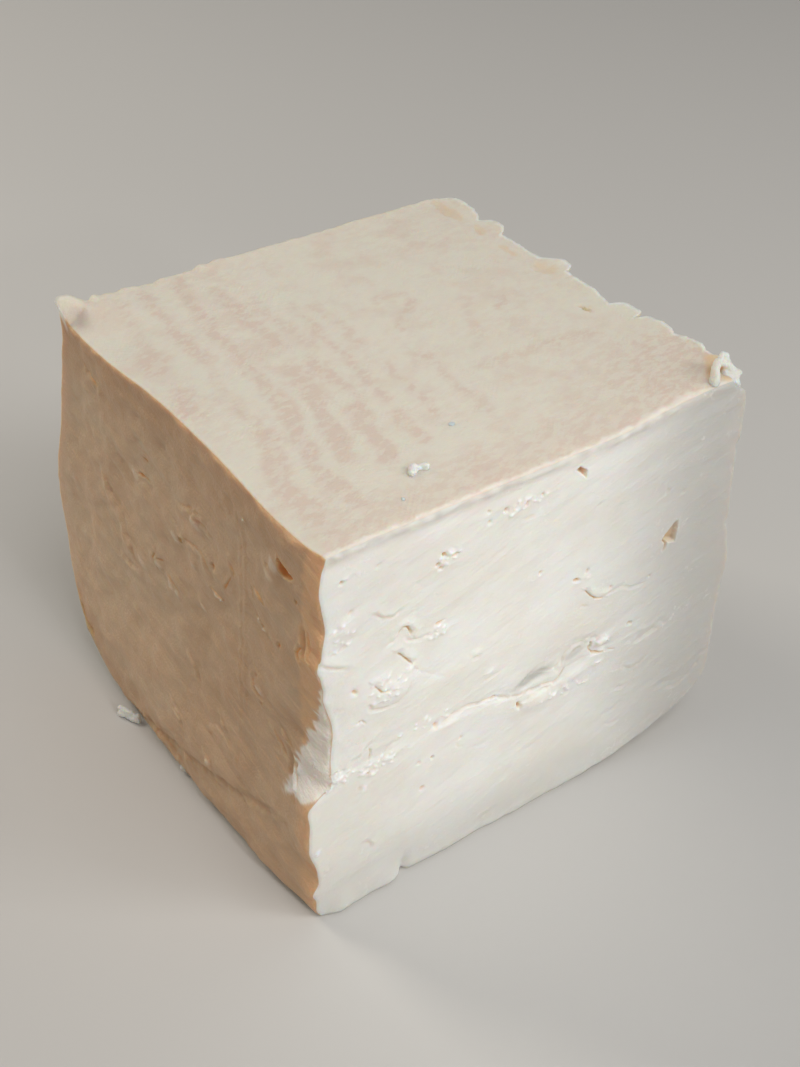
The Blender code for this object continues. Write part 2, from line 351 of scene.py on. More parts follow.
def wet_crumbs(u: float, v: float, wide: float, high: float, count: int) -> list[Lump]:
    """Tiny wet crumbs of curd that lie strewn round a place, whitened as painted glints.

    Args:
        u: place across the face.
        v: place up the face.
        wide: how far they reach across.
        high: how far they reach up and down.
        count: how many there are.

    Returns:
        The crumbs.
    """
    crumbs = []
    for number in range(count):
        turn = 2.4 * number + u
        reach = math.sqrt((number + 0.5) / count)
        size = 0.3 + 0.12 * math.sin(5.0 * turn)
        place = (u + wide * reach * math.cos(turn), v + high * reach * math.sin(turn))
        crumbs.append(Lump(place, (1.6 * size, size), 0.3, 45.0 * math.sin(turn), wet=1.0, pale=0.95))
    return crumbs


Mark = Hollow | Crease | Lump


def touched(mark: Mark, u: float, v: float) -> bool:
    """True where a mark clearly shapes or colours a place."""
    relief = Relief()
    mark.mark(u, v, relief)
    shares = (relief.hollow, relief.wet, relief.pale, relief.blush)
    return abs(relief.out) > LEAST_HEIGHT or max(shares) > LEAST_SHARE


@dataclass
class CutFace:
    """One knife-cut face with everything that marks it."""

    marks: list[Mark]
    tear: float = 0.16
    sharp_tint: float = 0.4
    broad: float = 2.0
    reaches: list[Box] = field(default_factory=list)

    def __post_init__(self) -> None:
        """Works out once where each mark lies."""
        self.reaches = [mark.reach() for mark in self.marks]

    def relief(self, u: float, v: float) -> Relief:
        """Everything that the marks do at one place.

        Args:
            u: place across the face.
            v: place up the face.

        Returns:
            The sum of the heights and the largest of each share.
        """
        relief = Relief()
        u += self.tear * ragged(u, v, 3.0, 0.9)
        v += self.tear * ragged(u, v, 17.0, 0.9)
        for mark, (low_u, low_v, high_u, high_v) in zip(self.marks, self.reaches):
            if low_u < u < high_u and low_v < v < high_v:
                mark.mark(u, v, relief)
        return relief

    def near(self, u: float, v: float, half: float, sharp: bool = False) -> bool:
        """True where a mark shapes or colours a small square of the face.

        Args:
            u: place across the face of the middle of the square.
            v: place up the face of its middle.
            half: half of the square's side.
            sharp: True where only small, dark or white marks count.

        Returns:
            Whether one does. A broad, soft lump doesn't count.
        """
        steps = (-half, 0.0, half)
        places = [(u + across, v + up) for across in steps for up in steps]
        return any(
            touched(mark, *place)
            for mark, (low_u, low_v, high_u, high_v) in zip(self.marks, self.reaches)
            if low_u - half < u < high_u + half and low_v - half < v < high_v + half
            if not (isinstance(mark, Lump) and min(mark.size) > self.broad)
            if not sharp or mark.tint >= self.sharp_tint or isinstance(mark, Lump) and mark.pale > 0.9
            for place in places
        )


def front_marks() -> list[Mark]:
    """The pits, tears and lumps of the front cut, as (across, up) from its lower left corner.

    Returns:
        The marks.
    """
    return [
        Hollow(
            ((86.7, 65.9), (88.0, 64.4), (87.9, 61.6), (88.9, 62.8), (89.0, 64.2), (90.2, 63.9))
            + ((91.5, 63.2), (91.5, 66.2), (91.2, 69.8), (89.7, 69.2), (88.2, 67.5)),
            1.7,
            wall=0.5,
            deepest=(-0.26, -0.06),
        ),
        Hollow(((58.2, 95.4), (59.4, 95.8), (61.2, 94.4), (61.2, 92.2), (60.0, 93.8)), 1.6),
        Crease(((17.8, 73.4), (18.6, 74.4), (19.6, 74.0), (20.7, 71.8)), 0.55, 1.1, 1.0, 0.4),
        Crease(((19.4, 71.6), (20.2, 70.0), (22.5, 69.2), (26.5, 69.3)), 0.9, 0.45, 0.1),
        Crease(((18.0, 73.2), (16.4, 71.8), (14.2, 71.2)), 0.8, 0.35),
        Crease(((17.7, 68.1), (19.4, 66.2), (21.3, 63.7)), 0.36, 0.9, 1.0, 0.3),
        Crease(((21.6, 62.2), (25.4, 59.0), (30.2, 55.4)), 0.6, 0.25),
        Crease(((12.3, 62.5), (13.9, 60.4), (15.6, 59.9)), 0.42, 0.8, 0.8, 0.35),
        Lump((15.2, 58.6), (3.6, 2.6), 0.75, wet=0.5),
        Lump((19.6, 59.4), (2.6, 3.4), 0.5),
        Crease(((11.2, 58.0), (12.0, 56.2), (14.8, 55.2), (16.6, 55.3)), 0.8, 0.7, 0.15),
        Crease(((16.6, 55.3), (18.4, 54.6), (20.4, 56.0), (21.0, 58.6)), 0.8, 0.5, 0.1),
        Crease(((11.6, 80.9), (13.6, 79.1), (16.0, 78.4), (17.9, 79.2)), 0.6, 0.6, 0.2, 0.25),
        dot(27.0, 88.4, 0.5, 1.2),
        dot(25.6, 86.6, 0.4, 1.0),
        dot(26.4, 85.4, 0.35, 0.9),
        Lump((29.6, 87.5), (1.0, 0.4), -0.5, 10.0, tint=0.5),
        Lump((28.4, 88.4), (1.6, 0.6), 0.3, -30.0, pale=0.8),
        dot(3.9, 92.1, 0.45, 0.9, 0.6),
        Lump((4.6, 92.9), (1.4, 0.5), 0.25, 20.0, pale=0.6),
        dot(12.0, 92.4, 0.4, 0.5, 0.3),
        dot(41.3, 92.8, 0.45, 1.1, 0.7),
        dot(50.3, 92.9, 0.35, 0.8, 0.6),
        dot(37.4, 91.6, 0.5, 0.6, 0.4),
        dot(36.9, 94.2, 0.35, 0.7, 0.4),
        Lump((43.4, 91.6), (1.2, 0.7), 0.3, 20.0, pale=0.7, wet=0.6),
        Lump((46.4, 93.6), (1.1, 0.7), 0.3, -20.0, pale=0.7, wet=0.6),
        dot(46.3, 92.3, 0.5, 0.8, 0.4),
        Lump((47.6, 88.5), (1.4, 0.4), -0.3, 0.0, tint=0.2),
        Lump((6.3, 83.8), (0.5, 0.6), -0.6, tint=0.3),
        dot(52.7, 72.1, 0.4, 0.8, 0.6),
        dot(21.0, 84.0, 0.5, 0.2, 0.0),
        Lump((4.6, 80.2), (1.8, 1.6), 0.35, wet=1.0),
        Lump((3.0, 81.6), (0.8, 0.8), -0.3),
        Crease(((-0.8, 74.4), (1.6, 72.6), (5.8, 70.4)), 0.7, 0.5, 0.25, 0.25),
        Crease(((2.2, 75.0), (5.0, 76.2), (7.4, 78.0)), 0.7, 0.3, 0.1),
        Crease(((2.0, 59.4), (3.6, 60.4), (5.4, 59.8)), 0.6, 0.35, 0.1),
        Crease(((37.0, 80.6), (39.4, 82.4), (42.0, 83.4)), 0.8, 0.25, 0.05),
        Crease(((43.4, 82.2), (45.4, 82.4)), 0.6, 0.25, 0.05),
        Lump((27.4, 71.1), (1.0, 0.35), -0.6, 5.0, tint=0.7),
        Lump((28.0, 69.0), (1.4, 1.0), 0.3, wet=0.9),
        Lump((26.8, 67.9), (0.5, 0.4), 0.3, wet=1.0, pale=0.8),
        Lump((7.9, 63.0), (0.4, 0.8), -0.7, 35.0, tint=0.7),
        Lump((9.2, 54.4), (0.5, 0.35), -0.7, tint=0.6),
        Crease(((9.6, 54.9), (10.6, 53.4)), 0.4, 0.7, 0.5),
        Lump((14.8, 63.6), (1.6, 0.9), 0.35, 20.0, wet=0.9),
        Lump((20.8, 62.8), (0.9, 0.8), 0.4, wet=1.0, pale=0.8),
        Lump((13.0, 49.0), (1.6, 1.2), 0.3, wet=0.9),
        Lump((37.6, 58.2), (1.0, 0.8), 0.4, wet=0.7),
        Lump((37.7, 57.1), (0.9, 0.4), -0.45, tint=0.2),
        Lump((41.8, 50.9), (1.2, 0.6), 0.4, 10.0, wet=0.9, pale=0.5),
        Crease(((40.8, 48.5), (42.8, 49.0), (44.9, 49.4)), 0.7, 0.5, 0.1),
        Crease(((42.0, 65.9), (44.4, 67.2)), 0.6, 0.2),
        Lump((63.2, 65.3), (0.9, 0.35), -0.8, -25.0, tint=0.9),
        Lump((66.0, 66.6), (0.5, 0.7), -0.4, tint=0.4),
        Lump((66.4, 64.8), (0.8, 0.5), 0.25, pale=0.7),
        Crease(((66.2, 61.0), (67.4, 59.7), (69.4, 57.7), (71.4, 57.0)), 0.42, 0.8, 0.9, 0.3),
        Crease(((65.6, 57.4), (67.8, 56.4)), 0.5, 0.4, 0.3),
        Lump((73.5, 58.9), (0.5, 0.5), -0.5, tint=0.3),
        Crease(((72.0, 57.2), (77.0, 57.6), (80.0, 55.6), (84.6, 55.0)), 0.7, 0.35, 0.1),
        Lump((85.4, 56.3), (0.5, 0.35), -0.4, tint=0.4),
        Lump((86.2, 79.0), (0.5, 0.9), -0.3, tint=0.1),
        Lump((91.2, 77.1), (0.6, 0.4), -0.2, tint=0.1),
        Lump((66.4, 83.8), (0.9, 0.4), -0.25, 15.0, tint=0.1),
        Lump((63.0, 87.0), (1.6, 1.0), -0.15),
        Lump((94.6, 88.9), (0.5, 0.4), 0.15, pale=0.4),
        Lump((81.5, 44.8), (0.7, 0.45), -0.7, -15.0, tint=0.5),
        # The torn place where two layers of curd meet.
        Crease(
            ((30.2, 42.0), (33.4, 43.2), (36.8, 43.5), (39.6, 42.7), (44.0, 42.4))
            + ((47.4, 40.2), (51.0, 38.6), (56.0, 37.8), (60.6, 37.6)),
            *(0.6, 0.8, 0.3, -0.18, 0.9),
        ),
        # Painted shade in the grey patches on and beside the ledge.
        Lump((54.6, 41.6), (5.4, 1.9), -0.4, 10.0, blush=0.85),
        Lump((66.4, 43.6), (3.6, 1.5), -0.2, 25.0, blush=0.6),
        *wet_crumbs(15.2, 60.4, 4.6, 3.6, 14),
        *wet_crumbs(4.0, 41.2, 4.6, 2.0, 16),
        *wet_crumbs(14.4, 40.2, 4.4, 2.2, 13),
        *wet_crumbs(26.4, 44.6, 8.0, 1.6, 9),
        *wet_crumbs(27.2, 69.2, 2.6, 1.6, 7),
        *wet_crumbs(4.6, 78.6, 2.6, 4.4, 8),
        *wet_crumbs(63.4, 34.2, 6.4, 1.8, 11),
        *wet_crumbs(73.0, 44.0, 3.0, 1.6, 7),
        *wet_crumbs(45.4, 92.4, 6.0, 1.5, 11),
        *wet_crumbs(28.4, 87.4, 2.6, 1.8, 6),
        Hollow(((43.0, 42.5), (43.8, 42.9), (44.6, 42.5), (44.0, 41.7), (43.2, 41.8)), 1.2, tint=0.7),
        Lump((28.7, 42.4), (0.45, 0.7), -0.7, 15.0, tint=0.6),
        Crease(((16.0, 41.8), (16.8, 43.2), (19.6, 43.6)), 0.6, 0.5, 0.15),
        Crease(((8.2, 43.4), (10.2, 44.6), (12.0, 46.4)), 0.6, 0.6, 0.2, 0.3),
        Crease(((12.2, 45.2), (12.6, 43.6), (12.2, 42.0)), 0.45, 0.7, 0.5),
        Crease(((51.2, 40.8), (52.6, 41.6), (53.4, 43.2), (55.2, 44.2)), 0.6, 0.6, 0.12),
        Crease(((51.4, 40.6), (53.6, 39.6), (55.4, 40.4)), 0.5, 0.6, 0.12),
        Crease(((56.4, 43.0), (58.6, 42.0), (61.2, 41.4), (62.6, 42.4)), 0.6, 0.55, 0.1),
        Crease(((62.8, 41.4), (63.6, 44.4), (65.4, 46.2), (67.4, 46.0), (69.2, 44.9)), 0.7, 0.6, 0.1, -0.35),
        Crease(((65.0, 43.2), (66.2, 44.6), (68.0, 44.2)), 0.5, 0.4, 0.1),
        Crease(((61.0, 37.2), (62.4, 38.2), (63.7, 40.0)), 0.45, 1.0, 0.9, 0.2),
        Crease(((63.8, 40.2), (66.0, 40.4), (68.6, 41.0)), 0.6, 0.5, 0.1),
        Crease(((51.0, 36.3), (55.6, 36.7), (60.0, 36.9)), 0.5, 0.4, 0.1, -0.3),
        Lump((51.4, 35.7), (0.4, 1.0), -1.6, 20.0, tint=1.0),
        Lump((56.4, 40.4), (3.4, 1.3), -0.5, -6.0),
        Lump((56.8, 34.2), (5.4, 2.2), 0.7, -4.0),
        Lump((66.4, 37.0), (3.6, 1.6), 0.5, 10.0),
        Crease(((70.6, 44.2), (70.4, 42.4), (71.6, 40.8), (74.2, 40.0)), 0.5, 0.9, 0.8, -0.5),
        Hollow(((69.6, 43.6), (70.4, 44.6), (71.2, 43.8), (70.8, 42.2), (70.0, 42.6)), 2.2),
        Crease(((76.0, 40.0), (77.8, 39.2)), 0.4, 0.5, 0.4),
        # Wet lumps whose pale share is painted glints.
        Lump((73.9, 43.7), (2.0, 1.2), 0.55, 10.0, wet=1.0, pale=0.7),
        Lump((73.2, 37.5), (1.3, 0.6), 0.4, 5.0, wet=1.0, pale=0.6),
        Lump((61.0, 34.3), (1.0, 0.6), 0.35, wet=1.0, pale=0.6),
        Lump((64.5, 34.8), (0.5, 1.1), 0.3, 30.0, wet=1.0, pale=0.5),
        Lump((70.2, 33.1), (1.0, 0.5), 0.3, wet=0.9, pale=0.4),
        Lump((65.3, 31.4), (0.5, 0.5), 0.25, wet=0.9, pale=0.4),
        Lump((84.0, 42.4), (6.0, 3.0), 0.35, -6.0),
        Crease(((83.8, 38.6), (86.4, 38.0), (89.4, 38.9), (91.4, 38.8)), 1.3, 0.5, 0.08, -0.3, 1.4),
        # Wet crumbs of curd on the ledge at the left, whitened as painted glints.
        Lump((1.4, 41.2), (1.1, 0.8), 0.5, wet=1.0, pale=1.0),
        Lump((2.4, 39.2), (0.9, 0.7), 0.4, wet=1.0, pale=1.0),
        Lump((-0.8, 43.6), (1.4, 1.2), 0.5, wet=1.0, pale=1.0),
        Lump((4.6, 41.2), (0.8, 0.5), 0.4, wet=1.0, pale=0.8),
        Crease(((3.0, 42.0), (4.2, 43.0), (6.0, 42.4)), 0.4, 0.6, 0.2),
        Lump((10.8, 39.2), (1.0, 0.7), 0.45, wet=1.0, pale=1.0),
        Lump((12.9, 37.9), (0.9, 0.7), 0.45, wet=1.0, pale=1.0),
        Lump((11.8, 38.6), (0.4, 0.4), -0.6, tint=0.5),
        Lump((17.4, 40.2), (1.3, 0.7), 0.45, 15.0, wet=1.0, pale=0.6),
        Lump((11.0, 34.6), (0.8, 1.2), 0.35, wet=1.0, pale=0.7),
        Lump((10.2, 35.0), (0.4, 0.8), -0.4, 20.0, tint=0.3),
        Lump((33.4, 41.6), (2.6, 0.8), 0.25, 8.0, pale=0.3),
        Lump((3.0, 46.8), (5.0, 2.6), -0.3),
        # Small scars on the lower layer.
        dot(28.3, 33.4, 0.4, 1.0, 0.9),
        dot(24.8, 33.9, 0.4, 0.5, 0.4),
        Crease(((35.8, 35.0), (34.8, 34.0), (35.4, 32.6), (36.8, 31.8)), 0.45, 0.4, 0.15),
        dot(35.9, 34.9, 0.35, 0.6, 0.5),
        Crease(((38.6, 30.0), (42.0, 29.2), (44.2, 28.6)), 0.7, 0.25),
        Lump((26.3, 25.2), (0.6, 0.6), -0.5, tint=0.45),
        Crease(((12.4, 17.2), (13.4, 16.2), (13.8, 14.6)), 0.5, 0.45, 0.2, 0.2),
        Crease(((1.4, 14.2), (3.2, 14.0), (3.0, 16.0)), 0.5, 0.35, 0.1, 0.2),
        Lump((0.2, 21.8), (0.7, 1.0), 0.35, -15.0, wet=1.0, pale=1.0),
        Lump((49.0, 14.0), (1.6, 1.0), 0.2, 10.0),
        Lump((45.2, 6.6), (1.0, 0.7), 0.2),
        Crease(((81.8, 31.6), (84.2, 29.6), (87.6, 29.8), (89.4, 31.6)), 0.9, 0.3, 0.05),
        Crease(((80.0, 25.8), (83.0, 24.6), (86.0, 24.8)), 0.9, 0.25, 0.03),
        Crease(((78.0, 18.2), (81.6, 18.6), (84.2, 20.4)), 0.9, 0.25, 0.03),
        Crease(((79.0, 15.2), (81.4, 13.6), (84.4, 13.8)), 0.9, 0.3, 0.05),
        Crease(((97.6, 16.6), (101.4, 15.2), (105.2, 16.6), (109.4, 20.4)), 1.0, 0.35, 0.05, -0.3, 1.5),
        Crease(((70.0, 27.4), (72.4, 28.6), (75.0, 28.2)), 0.8, 0.2),
        Lump((56.6, 20.4), (1.6, 0.6), -0.25, 15.0),
    ]


def left_marks() -> list[Mark]:
    """The pits, tears and lumps of the left cut, as (towards the back, up) from its foot.

    Returns:
        The marks.
    """
    return [
        Hollow(
            ((13.4, 91.0), (12.0, 90.9), (10.6, 90.2), (8.1, 89.2), (9.6, 87.7), (12.1, 87.1), (13.3, 88.0)),
            2.1,
            wall=0.5,
        ),
        Lump((15.2, 87.8), (1.5, 1.9), 0.45, -30.0, pale=0.35),
        Lump((17.3, 86.2), (0.5, 0.25), -0.5, 20.0, tint=0.6),
        Lump((16.4, 84.6), (2.2, 0.8), 0.3, 20.0, pale=0.2),
        Hollow(((51.8, 69.3), (50.2, 70.1), (49.7, 69.7), (51.0, 67.7), (51.8, 68.0)), 2.4, wall=0.35),
        Lump((53.6, 67.8), (1.2, 1.8), 0.45, -40.0, pale=0.3),
        Crease(((62.9, 56.9), (63.3, 55.6), (62.7, 54.6)), 0.45, 1.4, 1.0, 0.2),
        Crease(((61.7, 56.2), (59.8, 56.8)), 0.4, 0.8, 0.5),
        Lump((61.4, 54.8), (1.3, 1.0), 0.4, 10.0, pale=0.3),
        Lump((38.1, 70.7), (0.4, 0.55), -1.3, -50.0, tint=1.0),
        Crease(((68.0, 74.7), (65.9, 75.1), (63.9, 75.1)), 0.55, 1.3, 0.9, -0.3),
        Lump((69.4, 73.8), (1.6, 0.9), 0.4, 20.0, pale=0.25),
        Lump((65.3, 79.9), (0.7, 0.4), -0.6, 10.0, tint=0.6),
        Crease(((50.6, 78.2), (48.0, 79.3), (45.8, 80.4)), 0.6, 0.45, 0.2, 0.4),
        Crease(((46.6, 78.4), (44.0, 80.6), (42.6, 80.9)), 0.5, 0.4, 0.15, 0.35),
        Crease(((44.2, 78.4), (42.0, 79.0), (40.8, 78.4)), 0.5, 0.45, 0.3, 0.35),
        Lump((44.6, 77.2), (2.2, 0.9), 0.45, 35.0, pale=0.3),
        Crease(((82.0, 61.4), (77.4, 58.2), (74.2, 53.8)), 1.6, 0.55, 0.0, 0.7, 2.2),
        Crease(((77.0, 46.3), (73.8, 46.4), (70.3, 47.8)), 0.9, 0.4, 0.0, 0.35, 1.2),
        Lump((84.6, 66.0), (6.0, 3.0), 0.45, 30.0),
        Lump((70.6, 62.6), (5.0, 2.4), 0.4, 30.0),
        Lump((74.0, 71.0), (4.2, 1.8), -0.4, 25.0),
        Crease(((88.6, 88.6), (86.4, 87.9), (84.6, 87.2)), 0.6, 0.5, 0.5, 0.25),
        Crease(((49.1, 70.4), (45.1, 71.2), (41.7, 71.6), (39.8, 69.0)), 0.5, 0.35, 0.25, 0.3),
        Lump((55.9, 53.2), (1.6, 0.7), 0.45, 35.0, pale=0.3),
        Lump((53.2, 52.6), (1.1, 0.6), 0.4, 20.0, pale=0.3),
        Crease(((57.4, 54.8), (55.0, 54.4), (52.4, 53.6)), 0.45, 0.4, 0.3),
        Lump((45.6, 66.0), (1.0, 0.7), 0.4, 20.0, pale=0.3),
        Lump((43.4, 55.8), (1.3, 0.7), 0.4, 30.0, pale=0.3),
        Lump((36.4, 64.4), (1.5, 0.5), 0.4, 10.0, pale=0.35),
        Crease(((38.8, 64.8), (36.6, 64.7), (34.6, 64.2)), 0.35, 0.5, 0.6, 0.3, 0.5),
        Lump((35.1, 64.0), (0.35, 0.35), 0.4, pale=0.9, wet=1.0),
        Crease(((31.4, 76.1), (30.6, 75.0), (30.2, 73.6)), 0.4, 0.4, 0.3, 0.35, 0.6),
        Crease(((31.2, 72.8), (32.0, 71.4), (33.6, 68.3)), 0.35, 0.5, 0.6, 0.2, 0.5),
        Crease(((22.4, 77.0), (20.0, 76.5), (18.1, 75.9)), 0.35, 0.6, 0.6, 0.25, 0.5),
        Crease(((23.4, 76.2), (22.8, 73.6)), 0.3, 0.4, 0.4),
        Lump((21.2, 69.1), (0.7, 0.45), 0.45, 20.0, pale=0.5, wet=0.5),
        Lump((19.5, 67.9), (0.8, 0.4), 0.45, -20.0, pale=0.5, wet=0.5),
        Crease(((22.4, 69.6), (20.4, 68.9), (18.6, 67.0)), 0.4, 0.45, 0.4),
        Lump((13.9, 68.3), (0.35, 0.45), -0.9, tint=0.9),
        Lump((25.2, 91.4), (0.35, 0.35), 0.35, pale=1.0, wet=0.6),
        dot(8.2, 83.5, 0.35, 0.6, 0.5),
        Lump((21.8, 54.4), (0.35, 0.4), -0.9, tint=0.9),
        Crease(((22.6, 53.2), (21.4, 51.2), (19.4, 50.0)), 0.5, 0.5, 0.2, 0.4, 0.8),
        Lump((20.4, 51.4), (1.4, 0.7), 0.4, 30.0, pale=0.3),
        Lump((19.6, 48.4), (0.35, 0.5), -0.6, 20.0, tint=0.5),
        Crease(((60.0, 26.6), (59.4, 25.2)), 0.4, 0.9, 0.9),
        Crease(
            ((28.0, 92.0), (27.3, 76.0), (27.3, 62.0), (27.1, 44.0), (27.0, 24.0)),
            *(0.45, 0.13, 0.05, 0.1, 0.6),
        ),
        Crease(((26.0, 90.0), (25.6, 76.0), (25.6, 62.0), (25.4, 40.0)), 0.4, 0.1, 0.03, 0.1, 0.5),
        Crease(((34.6, 32.6), (33.2, 31.0), (32.4, 29.6)), 0.4, 0.35, 0.1, 0.5, 0.6),
        Crease(((38.4, 18.8), (37.0, 17.4), (36.6, 15.8)), 0.4, 0.35, 0.1, 0.55, 0.7),
        Crease(((47.0, 40.0), (44.6, 37.6), (43.8, 35.4)), 0.5, 0.3, 0.0, 0.4, 0.8),
        Crease(((52.0, 22.0), (49.6, 20.2), (48.8, 18.6)), 0.5, 0.3, 0.0, 0.4, 0.8),
        Lump((67.6, 51.0), (2.4, 1.0), 0.35, 30.0, pale=0.2),
        Crease(((39.0, 27.0), (36.0, 29.0), (30.0, 28.0)), 0.6, 0.25, 0.0, 0.25),
        Crease(((14.0, 46.4), (11.6, 44.6), (9.4, 43.9)), 0.4, 0.35, 0.1, 0.4, 0.6),
        Crease(((16.0, 44.0), (13.0, 41.6), (11.6, 39.6)), 0.4, 0.35, 0.15, 0.4, 0.6),
        # The long groove above the foot, and the swollen strip below it.
        Crease(
            ((80.0, -1.0), (73.8, 2.2), (60.0, 6.0), (45.6, 10.3), (27.6, 15.6), (12.0, 22.0)),
            *(2.6, 0.9, 0.0, -0.5, 2.6),
        ),
        Lump((37.6, 16.6), (0.7, 1.2), 0.4, 20.0, pale=0.4),
        Crease(((66.0, 5.4), (62.0, 4.8), (57.0, 5.4), (54.0, 4.6)), 0.8, 0.4, 0.1, 0.5, 1.2),
        Lump((20.0, 6.0), (9.0, 3.4), 0.5, 20.0),
        # White layers that come round from the front.
        Crease(((5.6, 79.4), (5.0, 73.4), (4.2, 71.4)), 0.35, 0.35, 0.1, -0.5, 0.5),
        Crease(((6.4, 73.8), (7.2, 72.0), (6.4, 70.8)), 0.4, 0.6, 0.7, 0.35, 0.6),
        Crease(((4.2, 78.6), (3.2, 74.0), (1.2, 71.6)), 0.5, 0.3, 0.2, 0.3, 0.6),
        Lump((3.6, 65.2), (2.0, 1.4), 0.35, 20.0),
        Lump((3.6, 51.4), (2.4, 2.2), 0.4, 20.0),
        Lump((3.4, 43.0), (2.6, 3.4), 0.5, 12.0, wet=0.6),
        Crease(((10.4, 43.4), (9.4, 40.0), (9.0, 37.0), (7.4, 34.4), (6.0, 33.2)), 0.5, 0.7, 0.3, -0.6, 0.7),
        Crease(((8.0, 40.6), (7.4, 38.0), (6.2, 36.6)), 0.4, 0.6, 0.4, 0.4, 0.6),
        Lump((7.2, 39.6), (0.6, 1.2), 0.35, 15.0, pale=0.9, wet=0.8),
        Lump((6.6, 35.4), (0.7, 0.9), 0.35, pale=0.9, wet=0.8),
    ]


@dataclass(frozen=True)
class Fold:
    """A soft, blushed band on the skin, where the cloth lay in a fold."""

    points: tuple[Pair, ...]
    width: float = 1.5
    strength: float = 0.8

    def share(self, x: float, y: float) -> float:
        """How blushed the skin is at a place on top, from 0 to 1."""
        away = min(segment_distance(x, y, a, b)[0] for a, b in zip(self.points, self.points[1:]))
        return min(1.0, 1.3 * self.strength * (1.0 - smooth(away, 0.0, 2.0 * self.width)))


@dataclass
class Skin:
    """The pressed skin: where it is blushed and painted shaded, the white rim along its front, and the
    flake's painted shadow.
    """

    folds: tuple[Fold, ...] = (
        Fold(((5.6, 6.0), (6.4, 21.0), (11.2, 36.0)), 1.9, 0.9),
        Fold(((11.4, 38.0), (13.0, 54.0), (14.8, 62.0)), 0.9, 0.5),
        Fold(((15.2, 64.0), (16.8, 83.0), (17.4, 94.0)), 1.5, 0.7),
        Fold(((14.6, 8.0), (13.8, 22.0), (18.2, 36.0), (19.8, 46.0)), 1.7, 0.9),
        Fold(((19.8, 46.0), (20.8, 56.0), (23.4, 76.0), (26.2, 94.0)), 1.5, 0.8),
        Fold(((20.6, 22.0), (24.0, 32.0), (26.4, 41.0)), 1.8, 1.0),
        Fold(((26.6, 42.0), (28.4, 52.0)), 2.4, 1.0),
        Fold(((31.0, 62.0), (31.4, 86.0)), 1.8, 0.7),
        Fold(((27.2, 18.0), (29.8, 28.0), (31.8, 34.0)), 1.8, 1.0),
        Fold(((33.0, 40.0), (34.2, 53.0)), 1.5, 0.8),
        Fold(((36.4, 58.0), (36.2, 78.0)), 1.8, 0.5),
        Fold(((36.4, 20.0), (37.6, 28.0)), 1.7, 1.0),
        Fold(((38.6, 34.0), (40.8, 58.0), (42.6, 72.0)), 1.2, 0.6),
        Fold(((44.4, 26.0), (45.4, 44.0)), 1.1, 0.6),
        Fold(((46.2, 54.0), (47.0, 71.0)), 1.2, 0.5),
        Fold(((53.4, 20.0), (54.8, 44.0)), 1.2, 0.5),
        Fold(((6.2, 67.0), (6.8, 72.0)), 2.6, 0.8),
        Fold(((3.0, 50.0), (4.6, 56.0)), 2.4, 0.7),
        Fold(((9.0, 76.0), (10.4, 92.0)), 1.6, 0.5),
        Fold(((62.0, 34.0), (70.0, 33.0), (80.0, 31.6), (92.0, 30.6)), 1.7, 0.5),
        Fold(((66.0, 40.0), (71.0, 46.0), (75.8, 56.4)), 1.5, 0.35),
        Fold(((57.6, 54.0), (60.0, 56.0)), 1.4, 0.6),
        Fold(((58.4, 66.0), (66.0, 65.0)), 1.2, 0.5),
        Fold(((63.0, 58.6), (65.0, 60.4)), 1.3, 0.8),
        Fold(((81.0, 50.0), (86.0, 53.0)), 1.4, 0.5),
    )
    # The flake's painted shadow on the skin: a line beside it and a spot at its foot.
    flake_shadow: tuple[Pair, Pair] = ((96.2, 3.8), (101.2, 8.8))
    flake_shadow_foot: Pair = (98.2, 1.4)

    def mark(self, x: float, y: float, relief: Relief) -> None:
        """Blushes the skin in its folds and along its front, paints shade towards its front right corner and
        the flake's shadow beside it, and whitens its torn front rim.

        Args:
            x: place from the left cut.
            y: place from the front cut.
            relief: what the marks there add up to, changed here.
        """
        rim = 0.9 + smooth(x, 60.0, 86.0) - 1.7 * smooth(x, 88.0, 94.0) + 0.9 * ragged(x, 0.0, 60.0, 3.5)
        rim += 0.5 * ragged(x, y, 61.0, 1.1)
        relief.add(0.0, pale=0.6 - 0.6 * smooth(y, rim - 0.4, rim + 0.5))
        wide_x = x + 1.6 * ragged(x, y, 7.0, 5.0) + 0.5 * ragged(x, y, 2.0, 1.8)
        wide_y = y + 1.6 * ragged(x, y, 11.0, 5.0) + 0.5 * ragged(x, y, 5.0, 1.8)
        share = max(fold.share(wide_x, wide_y) for fold in self.folds)
        front = 0.55 * (1.0 - smooth(wide_y, 5.0, 16.0)) * smooth(x, 0.0, 3.0)
        # Painted shade: darker towards the skin's front right corner.
        corner = 0.8 * smooth(wide_x, 62.0, 96.0) * (1.0 - smooth(wide_y, 12.0, 34.0))
        relief.add(-0.05 * share, blush=max(share, front, corner))
        # Painted shadow that the flake casts on the skin, orange where light comes through the flake.
        beside = segment_distance(x, y, *self.flake_shadow)[0]
        foot = math.hypot(x - self.flake_shadow_foot[0], y - self.flake_shadow_foot[1])
        relief.add(0.0, glow=max(1.0 - smooth(beside, 0.5, 2.0), 0.9 - smooth(foot, 0.6, 2.0)))


# ---------------------------------------------------------------------------------------------
# The block's form
# ---------------------------------------------------------------------------------------------


